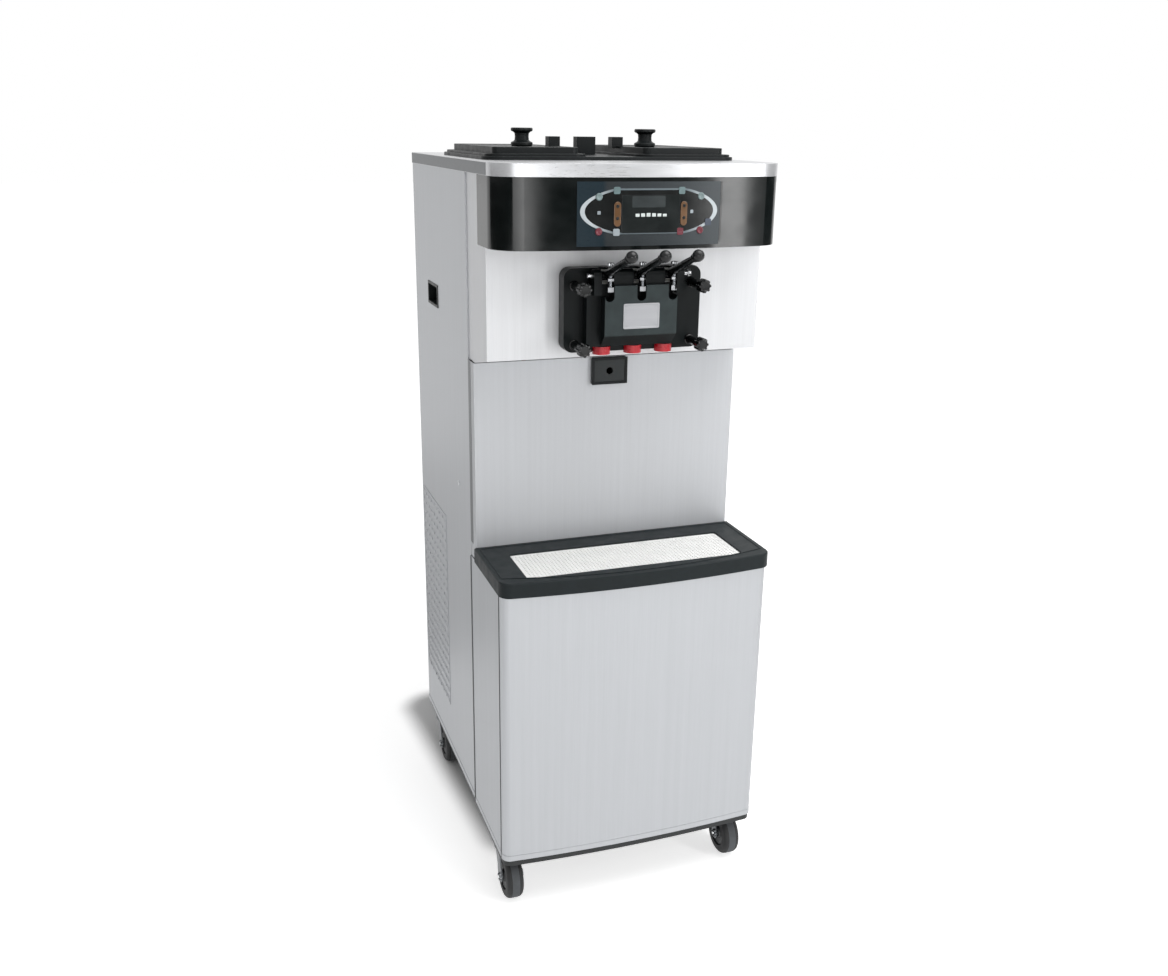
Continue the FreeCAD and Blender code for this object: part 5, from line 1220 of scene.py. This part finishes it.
@dataclass
class DrawHandle:
    """Ball-ended draw lever with its upright adjusting screw."""

    spout: Spout
    pivot_y: float = -0.2763
    pivot_z: float = 1.310
    length: float = 0.1354
    angle: float = 20.0
    ball: float = 0.011
    toe: float = 0.020
    screw_y: float = -0.3003
    screw_low: float = 1.282
    screw_top: float = 1.3356
    pitch: float = 0.00125
    thread: tuple[float, float] = (0.0040, 0.0034)
    nut: float = 0.0065
    knurl: float = 0.93
    knurl_sides: int = 40

    def build(self) -> None:
        """Model the lever and the screw."""
        self.lever()
        self.screw()

    def lever(self) -> None:
        """Turn the lever and its ball, and add the hub and the toe that lifts the valve."""
        word, slope = self.spout.word, math.radians(self.angle)
        pivot = (self.spout.value, self.pivot_y, self.pivot_z)
        up, back = ((0, -sign * math.cos(slope), sign * math.sin(slope)) for sign in (1, -1))
        profile = [(0.0078, 0.002), (0.0080, 0.020), (0.0070, 0.085), (0.0060, 0.112), (0.0056, 0.1170),
                   (0.0078, 0.1176), (0.0082, 0.1190), (0.0082, 0.1214), (0.0076, 0.1228), (0.0058, 0.1234)]
        turns = [math.radians(32 + step * 14) for step in range(11)]
        profile += [(self.ball * math.sin(turn), self.length - self.ball * math.cos(turn)) for turn in turns]
        lever = Piece.turned(f"draw_lever_{word}", profile, pivot, up, 28)
        hub = Piece.turned("hub", mirrored([(0.0074, 0.0100), (0.0084, 0.0090)]), pivot, RIGHTWARD, 36)
        arm = Piece.turned("arm", [(0.0025, 0.006), (0.0025, self.toe)], pivot, back, 16)
        tip = tuple(p + b * self.toe for p, b in zip(pivot, back))
        toe = Piece.turned("toe", mirrored([(0.0029, 0.0035), (0.0035, 0.0029)]), tip, RIGHTWARD, 20)
        lever.join(hub, arm, toe).finish(f"handle_{word}", LEVER_PLASTIC, f"draw_handle_{word}")

    def screw(self) -> None:
        """Turn the threaded screw, with its foot, lock nut and knurled head."""
        word, height = self.spout.word, self.screw_top - self.screw_low
        crest, root = self.thread
        profile, place = [(0.0030, 0.0), (0.0036, 0.0006)], 0.0012
        while place < height - 0.0015:
            profile += [(crest, place), (root, place + self.pitch / 2)]
            place += self.pitch
        profile += [(0.0036, height - 0.0006), (0.0030, height)]
        foot = (self.spout.value, self.screw_y, self.screw_low)
        shank = Piece.turned(f"draw_screw_{word}", profile, foot, UPWARD, 18)
        parts = []
        for name, low, high, sides in (("foot", 0.0, 0.010, 6), ("nut", 0.0198, 0.0259, 6),
                                       ("head", height - 0.006, height, self.knurl_sides)):
            rings = [(0.0055, low), (self.nut, low + 0.0008), (self.nut, high - 0.0008), (0.0055, high)]
            parts.append(Piece.turned(name, rings, foot, UPWARD, sides))
        head, turn = parts[-1], math.tau / self.knurl_sides
        head.points(lambda p: round(math.atan2(p.y - foot[1], p.x - foot[0]) / turn) % 2 == 0)
        head.resize((self.knurl, self.knurl, 1), foot)
        shank.join(*parts).finish(f"handle_{word}", CHROME, f"adjusting_screw_{word}")


@dataclass
class DripStation:
    """Drip tray with its white grille, and the drip drawer above."""

    top: float = 0.7466
    half: float = 0.286
    corner_y: float = -0.3165
    back_y: float = -0.1325
    bow: float = 0.040
    bead_inset: float = 0.009
    bead: float = 0.0026
    bead_height: float = 0.0010
    bead_cuts: int = 24
    grille_half: float = 0.2277
    grille_front: float = -0.3212
    grille_back: float = -0.1898
    grille_low: float = 0.7396
    grille_high: float = 0.7436
    rim: float = 0.007
    cell: float = 0.0075
    web: float = 0.0023
    web_height: float = 0.0028
    drawer_width: float = 0.076
    drawer_height: float = 0.055
    drawer_low: float = 1.073

    def build(self) -> None:
        """Model the tray, the grille and the drawer."""
        self.tray()
        self.grille()
        self.drawer()

    def front_y(self, x: float, inward: float) -> float:
        """Depth of the tray's bowed front, at a distance from the middle and so far inside its edge."""
        radius = (self.half ** 2 + self.bow ** 2) / (2 * self.bow)
        return self.corner_y + radius - self.bow - math.sqrt((radius - inward) ** 2 - x ** 2)

    def tray(self) -> None:
        """Dress the tray, and model the bead that runs round its top."""
        dress("drip_tray", TRAY_PLASTIC, 0.0012)
        wide = 2 * (self.half - self.bead_inset)
        front, back = self.corner_y, self.back_y - self.bead_inset
        bead = Piece.sheet("drip_tray_bead", wide, back - front, (0, (front + back) / 2, self.top), UPWARD)
        cuts = [index * wide / self.bead_cuts for index in range(-self.bead_cuts // 2, self.bead_cuts // 2 + 1)]
        bead.slice(0, cuts[1:-1])
        for x in cuts:
            bead.points(lambda p: abs(p.x - x) < 1e-5 and p.y < front + 1e-4)
            bead.shift((0, self.front_y(x, self.bead_inset) - front, 0))
        bead.faces()
        bpy.ops.mesh.dissolve_faces()
        bead.framed(self.bead, self.bead_height, 0.0004).finish("drip_tray", TRAY_PLASTIC)

    def grille(self) -> None:
        """Model one hole of the grille, repeat it over the plate and frame it."""
        long = 2 * (self.grille_half - self.rim)
        deep = self.grille_back - self.grille_front - 2 * self.rim
        columns, rows = int(long / self.cell), int(deep / self.cell)
        step_x, step_y = long / columns, deep / rows
        x0, y0 = -self.grille_half + self.rim, self.grille_front + self.rim
        mesh = Piece.sheet("splash_grille_mesh", step_x, step_y,
                           (x0 + step_x / 2, y0 + step_y / 2, self.grille_high - 0.0006), UPWARD)
        mesh.faces().inset(self.web).drop()
        mesh.repeat(columns, (step_x, 0, 0)).repeat(rows, (0, step_y, 0)).points()
        bpy.ops.mesh.remove_doubles(threshold=1e-5)
        mesh.modify("SOLIDIFY", thickness=self.web_height, offset=-1.0)
        border = Piece.cube("border", (-self.grille_half, self.grille_front, self.grille_low),
                            (self.grille_half, self.grille_back, self.grille_high)).rounded(2, self.rim, 6)
        for sign in (1, -1):
            border.faces(lambda c, n: n.z * sign > 0.9).inset(self.rim - 0.0002)
        border.faces(lambda c, n: abs(n.z) > 0.9 and math.hypot(c.x, c.y - (y0 + deep / 2)) < 1e-3)
        bpy.ops.mesh.bridge_edge_loops()
        border.rims().bevel(0.0006)
        mesh.join(border).finish("splash_grille", GRILLE_PLASTIC, "splash_grille")

    def drawer(self) -> None:
        """Dress the drawer, and model the raised frame round its front."""
        dress("drip_drawer", PANEL_PLASTIC, 0.0010)
        centre = (0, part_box("drip_drawer")[0].y, self.drawer_low + self.drawer_height / 2)
        edge = Piece.sheet("drip_drawer_frame", self.drawer_width, self.drawer_height, centre, FORWARD)
        edge.framed(0.0055, 0.0016, 0.0005).finish("drip_drawer", BLACK_PLASTIC)


@dataclass
class HopperSurround:
    """Black frame on the deck that the two hopper lids drop into."""

    deck: float = 1.510
    height: float = 0.0065
    margin: float = 0.006
    slip: float = 0.0006
    lid_corner: float = 0.028

    def build(self) -> None:
        """Model the frame, with an opening for each lid."""
        left, right = (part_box(f"{side.word}_hopper_lid") for side in Side)
        surround = self.block("hopper_surround", (left[0], right[1]), self.margin, 0.0, self.height)
        for lid in (left, right):
            surround.carve(self.block("opening", lid, self.slip, -0.02, 0.02))
        surround.rims(lambda a, b: min(a.z, b.z) > self.deck + self.height - 1e-4).bevel(0.0012)
        surround.finish("cabinet", BLACK_PLASTIC)

    def block(self, name: str, box: tuple[Vector, Vector], margin: float, low: float, high: float) -> Piece:
        """Model a block round a box, with rounded upright edges.

        Args:
            name: Name of the piece.
            box: Lowest and highest corner of what it goes round.
            margin: Its distance from that.
            low: Its foot above the deck.
            high: Its top above the deck.

        Returns:
            The block.
        """
        block = Piece.cube(name, (box[0].x - margin, box[0].y - margin, self.deck + low),
                           (box[1].x + margin, box[1].y + margin, self.deck + high))
        return block.rounded(2, self.lid_corner + margin, 8)


@dataclass
class HopperLid:
    """Insulated lid with a stepped top, a moulded lug and a spool knob."""

    side: Side
    deck: float = 1.510
    edge: float = 0.011
    plateau: float = 0.012
    step: float = 0.015
    corner: float = 0.028
    groove: float = 0.0012
    lug_half: float = 0.012
    lug_x: float = 0.068
    lug_top: float = 1.551
    knob_x: float = 0.133
    knob: float = 0.022
    neck: float = 0.0145
    knob_height: float = 0.034

    def build(self) -> None:
        """Model the lid and its knob."""
        word = self.side.word
        low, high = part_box(f"{word}_hopper_lid")
        middle_y, shoulder = (low.y + high.y) / 2, self.deck + self.edge
        top = shoulder + self.plateau
        lid = Piece.cube(f"{word}_lid_shell", low, (high.x, high.y, shoulder)).rounded(2, self.corner, 8)
        lid.facing(UPWARD).inset(0.0035).inset(self.groove, -0.0010).inset(self.groove, 0.0010)
        lid.inset(self.step - 0.0059).extrude((0, 0, self.plateau)).inset(0.006).inset(0.003, -0.0012)
        lid.rims(lambda a, b: min(a.z, b.z) > self.deck + 0.001).bevel(0.0011)
        lug_x = self.side.value * self.lug_x
        lug = Piece.cube("lug", (lug_x - self.lug_half, middle_y - self.lug_half, top - 0.004),
                         (lug_x + self.lug_half, middle_y + self.lug_half, self.lug_top))
        lug.facing(UPWARD).inset(0.003).extrude((0, 0, -0.0015))
        lid.join(lug.rims().bevel(0.0008)).finish(f"{word}_lid", BLACK_PLASTIC, f"{word}_hopper_lid")
        self.spool((self.side.value * self.knob_x, middle_y, top))

    def spool(self, foot: Point) -> None:
        """Turn the spool knob.

        Args:
            foot: Where it stands on the lid.
        """
        tall, wide, neck, word = self.knob_height, self.knob, self.neck, self.side.word
        profile = [(wide - 0.002, -0.0011), (wide, 0.0012), (wide, 0.0050), (wide - 0.0012, 0.0066),
                   (neck + 0.003, 0.0078), (neck, 0.0105), (neck - 0.0006, tall / 2), (neck, tall - 0.0105),
                   (neck + 0.003, tall - 0.0078), (wide - 0.0012, tall - 0.0066), (wide, tall - 0.0050),
                   (wide, tall - 0.0016), (wide - 0.0016, tall), (wide - 0.005, tall),
                   (wide - 0.006, tall - 0.0012), (0.004, tall - 0.0012)]
        knob = Piece.turned(f"{word}_spool_knob", profile, foot, UPWARD, 40)
        knob.finish(f"{word}_lid", BLACK_PLASTIC, f"{word}_lid_knob")


@dataclass
class Caster:
    """Swivel caster: tyre with a tread strip, hub, fork and axle nuts."""

    corner: Corner
    radius: float = 0.048
    half_width: float = 0.018
    tread_half: float = 0.0085
    dish: float = 0.030
    dish_depth: float = 0.0042
    trail: float = 0.028
    race_z: float = 0.1045

    @property
    def centre(self) -> Point:
        """Middle of the wheel."""
        low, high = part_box(f"{self.corner.word}_caster_wheel")
        return tuple((low + high) / 2)

    def build(self) -> None:
        """Model the wheel and dress the fork."""
        self.tyre()
        self.hub()
        self.fork()

    def wheel_part(self, name: str, half: Profile, sides: int) -> Piece:
        """Turn a part of the wheel out of the half of its profile."""
        return Piece.turned(f"{self.corner.word}_{name}", mirrored(half), self.centre, RIGHTWARD, sides)

    def tyre(self) -> None:
        """Turn the tyre, with dished sides, and lay the tread strip round it."""
        word, half, radius = self.corner.word, self.half_width, self.radius
        tyre = self.wheel_part("tyre", [(self.dish, half), (0.0385, half), (0.0420, half - 0.0007),
                                        (0.0450, half - 0.0028), (0.0470, half - 0.0060),
                                        (radius - 0.0003, half - 0.0085), (radius - 0.0006, half - 0.0105)], 48)
        for sign in (-1, 1):
            tyre.facing((sign, 0, 0), self.centre, 1e-3).inset(0.0008)
            tyre.extrude((-sign * self.dish_depth, 0, 0))
        tyre.rims().bevel(0.0007).finish(f"{word}_wheel", RUBBER, f"{word}_caster_wheel")
        half = self.tread_half
        tread = self.wheel_part("tread", [(radius - 0.0008, half), (radius, half - 0.0012)], 48)
        tread.finish(f"{word}_wheel", TREAD)

    def hub(self) -> None:
        """Turn the hub's web and boss."""
        half = self.half_width
        hub = self.wheel_part("hub", [(0.0118, half - 0.0002), (0.0128, half - 0.0012), (0.0150, half - 0.0040),
                                      (0.0205, half - 0.0038), (0.0225, half - 0.0026), (0.0262, half - 0.0030),
                                      (0.0270, half - 0.0046)], 40)
        hub.finish(f"{self.corner.word}_wheel", HUB_PLASTIC)

    def fork(self) -> None:
        """Dress the fork, and turn its swivel race and axle nuts."""
        word, (x, y, z) = self.corner.word, self.centre
        dress(f"{word}_caster_fork", CASTER_STEEL, 0.0007)
        race = Piece.turned(f"{word}_swivel_race", [(0.0262, -0.0015), (0.0278, -0.0006), (0.0278, 0.0030),
                                                    (0.0262, 0.0042)], (x, y + self.trail, self.race_z), UPWARD, 40)
        race.finish(f"{word}_fork", CASTER_STEEL)
        profile = [(0.0088, -0.0036), (0.0088, -0.0006), (0.0076, 0.0), (0.0040, 0.0), (0.0036, 0.0010),
                   (0.0010, 0.0012)]
        for side in Side:
            nut = Piece.turned(f"{word}_axle_nut_{side.word}", profile, (side.outer(f"{word}_caster_fork"), y, z),
                               (side.value, 0, 0), 6)
            nut.finish(f"{word}_fork", SCREW_STEEL)


@dataclass
class ColdSystem:
    """Hoppers, cylinders, drives and refrigeration inside the cabinet."""

    edge: float = 0.0006

    def build(self) -> None:
        """Dress every inner node."""
        looks = {"mix_hoppers": FOOD_STEEL, "freezing_cylinders": FOOD_STEEL, "left_beater": FOOD_STEEL,
                 "right_beater": FOOD_STEEL, "feed_tubes": FEED_PLASTIC, "gear_motors": MOTOR_PAINT,
                 "compressor": MOTOR_PAINT, "condenser_unit": FIN_STOCK, "fan_blade": FAN_PLASTIC,
                 "refrigerant_lines": COPPER, "control_box": BOX_METAL}
        for node, look in looks.items():
            dress(node, look)
        dress("lid_spacer", BLACK_PLASTIC, self.edge)


@dataclass
class Studio:
    """Pale floor, white surround, soft lamps and the camera."""

    eye: Point = (-0.8027, -2.2567, 1.5724)
    yaw: float = 19.53
    pitch: float = 17.69
    roll: float = 0.78
    lens: float = 35.02
    sky: float = 0.35
    floor_white: float = 0.66
    far_white: float = 0.8
    glow_near: float = 0.6
    glow_far: float = 3.5
    floor_grey: float = 0.86
    # Place, size, turn, rounding and fade of the painted shadow on the floor.
    shade_centre: Point = (-0.0756, 0.28, 0.0)
    shade_half: Point = (0.12, 0.32, 0.0)
    shade_turn: float = -5.0
    shade_round: float = 0.05
    shade_fade: float = 0.075

    def build(self) -> None:
        """Make the surround, the lamps and the camera."""
        self.world()
        self.floor()
        self.lamp("key_softbox", (2.06, -2.74, 1.8), (0.1, -0.1, 0.9), (0.42, 2.0), 29.0)
        self.lamp("low_fill", (0.5, -3.2, 0.52), (0.1, 0.0, 0.9), (2.0, 0.8), 5.0)
        self.lamp("top_light", (0.65, -1.0, 3.3), (-0.1, 0.0, 0.3), (2.2, 2.2), 66.0)
        self.card("right_flag", (0.83, -3.1, 1.225), (0.83, 0.0, 1.225), 1.72, 0.33, 0.03)
        self.card("soft_card", (-1.51, -3.1, 1.225), (-1.51, 0.0, 1.225), 2.98, 0.50, 7.8,
                  ((0.0, 0.0), (0.020, 0.12), (0.045, 0.55), (0.10, 1.0), (0.49, 0.7), (0.98, 0.4)))
        self.card("corner_flag", (-2.4, -0.45, 1.25), (0.0, -0.45, 1.25), 4.9, 0.36, 0.08)
        self.card("far_flag", (2.9, -0.6, 1.25), (0.0, -0.6, 1.25), 2.6, 0.36, 0.05)
        self.card("floor_flag", (-0.85, 2.0, 0.004), (-0.85, 2.0, 1.0), 1.3, 2.2, 0.62)
        self.camera()
        bpy.context.scene.view_settings.view_transform = "Standard"

    def white_rays(self, nodes: Nodes) -> Socket:
        """Tell the rays that see the surround as white.

        Args:
            nodes: Node tree of the world or the floor.

        Returns:
            1 for camera, glossy and transmission rays, and 0 for the rest.
        """
        path = nodes.add("LightPath").outputs
        total = path["Is Camera Ray"]
        for name in ("Is Glossy Ray", "Is Transmission Ray"):
            total = nodes.combine("MAXIMUM", total, path[name])
        return total

    def world(self) -> None:
        """Surround that is white to look at and lights the machine softly."""
        nodes = Nodes(bpy.data.worlds.new("white_surround"))
        strength = nodes.span(self.white_rays(nodes), self.sky, 1.0, 0.0, 1.0)
        nodes.fill(nodes.tree.nodes["Background"], {"Color": (1, 1, 1, 1), "Strength": strength})
        bpy.context.scene.world = nodes.owner

    def floor(self) -> None:
        """Pale floor that glows white all round the machine and keeps its shadow below it, where its glow is masked
        out in a turned box that also paints shadow beside and behind the machine.
        """
        rest()
        bpy.ops.mesh.primitive_plane_add(size=60)
        floor = bpy.context.object
        floor.name = "floor"
        nodes = Nodes(bpy.data.materials.new("pale_floor"))
        place = nodes.add("TexCoord").outputs["Object"]
        far = nodes.add("VectorMath", {0: place}, operation="LENGTH").outputs["Value"]
        glow = nodes.span(far, self.floor_white, self.far_white, self.glow_near, self.glow_far)
        # Painted shadow: the glow fades out in a rounded box, turned a little, under the machine's left side and
        # behind it.
        turn = {"Vector": place, "Center": self.shade_centre, "Angle": math.radians(self.shade_turn)}
        beside = nodes.add("VectorRotate", turn, rotation_type="Z_AXIS").outputs["Vector"]
        zero = (0.0, 0.0, 0.0)
        for operation, vector in (("SUBTRACT", self.shade_centre), ("ABSOLUTE", zero),
                                  ("SUBTRACT", self.shade_half), ("MAXIMUM", zero)):
            beside = nodes.add("VectorMath", {0: beside, 1: vector}, operation=operation).outputs["Vector"]
        away = nodes.add("VectorMath", {0: beside}, operation="LENGTH").outputs["Value"]
        unshaded = nodes.span(away, 0.0, 1.0, self.shade_round, self.shade_round + self.shade_fade,
                              interpolation_type="SMOOTHSTEP")
        strength = self.white_rays(nodes)
        for factor in (glow, unshaded):
            strength = nodes.combine("MULTIPLY", strength, factor)
        matt = nodes.add("BsdfDiffuse", {"Color": (*(self.floor_grey,) * 3, 1)})
        shine = nodes.add("Emission", {"Strength": strength})
        nodes.surface(nodes.add("AddShader", {0: matt.outputs[0], 1: shine.outputs[0]}))
        floor.data.materials.append(nodes.owner)

    def lamp(self, name: str, place: Point, target: Point, size: tuple[float, float], power: float) -> None:
        """Add a soft area lamp.

        Args:
            name: Name of the lamp.
            place: Where it hangs.
            target: What it points at.
            size: Width and height.
            power: Watts.
        """
        data = bpy.data.lights.new(name, "AREA")
        data.shape = "RECTANGLE"
        data.size, data.size_y = size
        data.energy = power
        lamp = bpy.data.objects.new(name, data)
        bpy.context.scene.collection.objects.link(lamp)
        lamp.location = place
        lamp.rotation_euler = (Vector(target) - Vector(place)).to_track_quat("-Z", "Y").to_euler()
        lamp.visible_camera = False

    def card(self, name: str, place: Point, target: Point, width: float, height: float, level: float,
             shades: Profile = ((0.0, 1.0), (1.0, 1.0))) -> None:
        """Stand a grey card that only shows in reflections.

        Args:
            name: Name of the card.
            place: Middle of the card.
            target: What it faces.
            width: Its width.
            height: Its height.
            level: Its brightness.
            shades: Shares of the brightness, from its left edge at 0 to its right edge at 1, as the card faces.
        """
        card = Piece.sheet(name, width, height, place, tuple(Vector(target) - Vector(place))).obj
        nodes = Nodes(bpy.data.materials.new(name))
        split = nodes.add("SeparateXYZ", {0: nodes.add("TexCoord").outputs["UV"]})
        colour = nodes.ramp(split.outputs["X"], [(along, (shade,) * 3) for along, shade in shades])
        nodes.surface(nodes.add("Emission", {"Color": colour, "Strength": level}))
        card.data.materials.append(nodes.owner)
        card.visible_camera = card.visible_diffuse = card.visible_shadow = card.visible_transmission = False

    def camera(self) -> None:
        """Set the camera at the photograph's place and angle."""
        yaw, pitch, roll = (math.radians(value) for value in (self.yaw, self.pitch, self.roll))
        ahead = Vector((math.sin(yaw) * math.cos(pitch), math.cos(yaw) * math.cos(pitch), -math.sin(pitch)))
        right = Vector((math.cos(yaw), -math.sin(yaw), 0))
        upward = right.cross(ahead)
        across = right * math.cos(roll) + upward * math.sin(roll)
        upward = upward * math.cos(roll) - right * math.sin(roll)
        data = bpy.data.cameras.new("camera")
        data.lens, data.sensor_width = self.lens, 36.0
        camera = bpy.data.objects.new("camera", data)
        bpy.context.scene.collection.objects.link(camera)
        turn = Matrix((across, upward, -ahead)).transposed().to_4x4()
        camera.matrix_world = Matrix.Translation(self.eye) @ turn
        bpy.context.scene.camera = camera


def main() -> None:
    """Build every sub-assembly, in order."""
    logging.basicConfig(level=logging.INFO, format="%(name)s: %(message)s")
    Studio().build()
    Cabinet().build()
    ControlBand().build()
    FreezerDoor().build()
    for spout in Spout:
        DrawHandle(spout).build()
    DripStation().build()
    HopperSurround().build()
    for side in Side:
        HopperLid(side).build()
    for corner in Corner:
        Caster(corner).build()
    ColdSystem().build()
    rest()


if __name__ == "__main__":
    main()
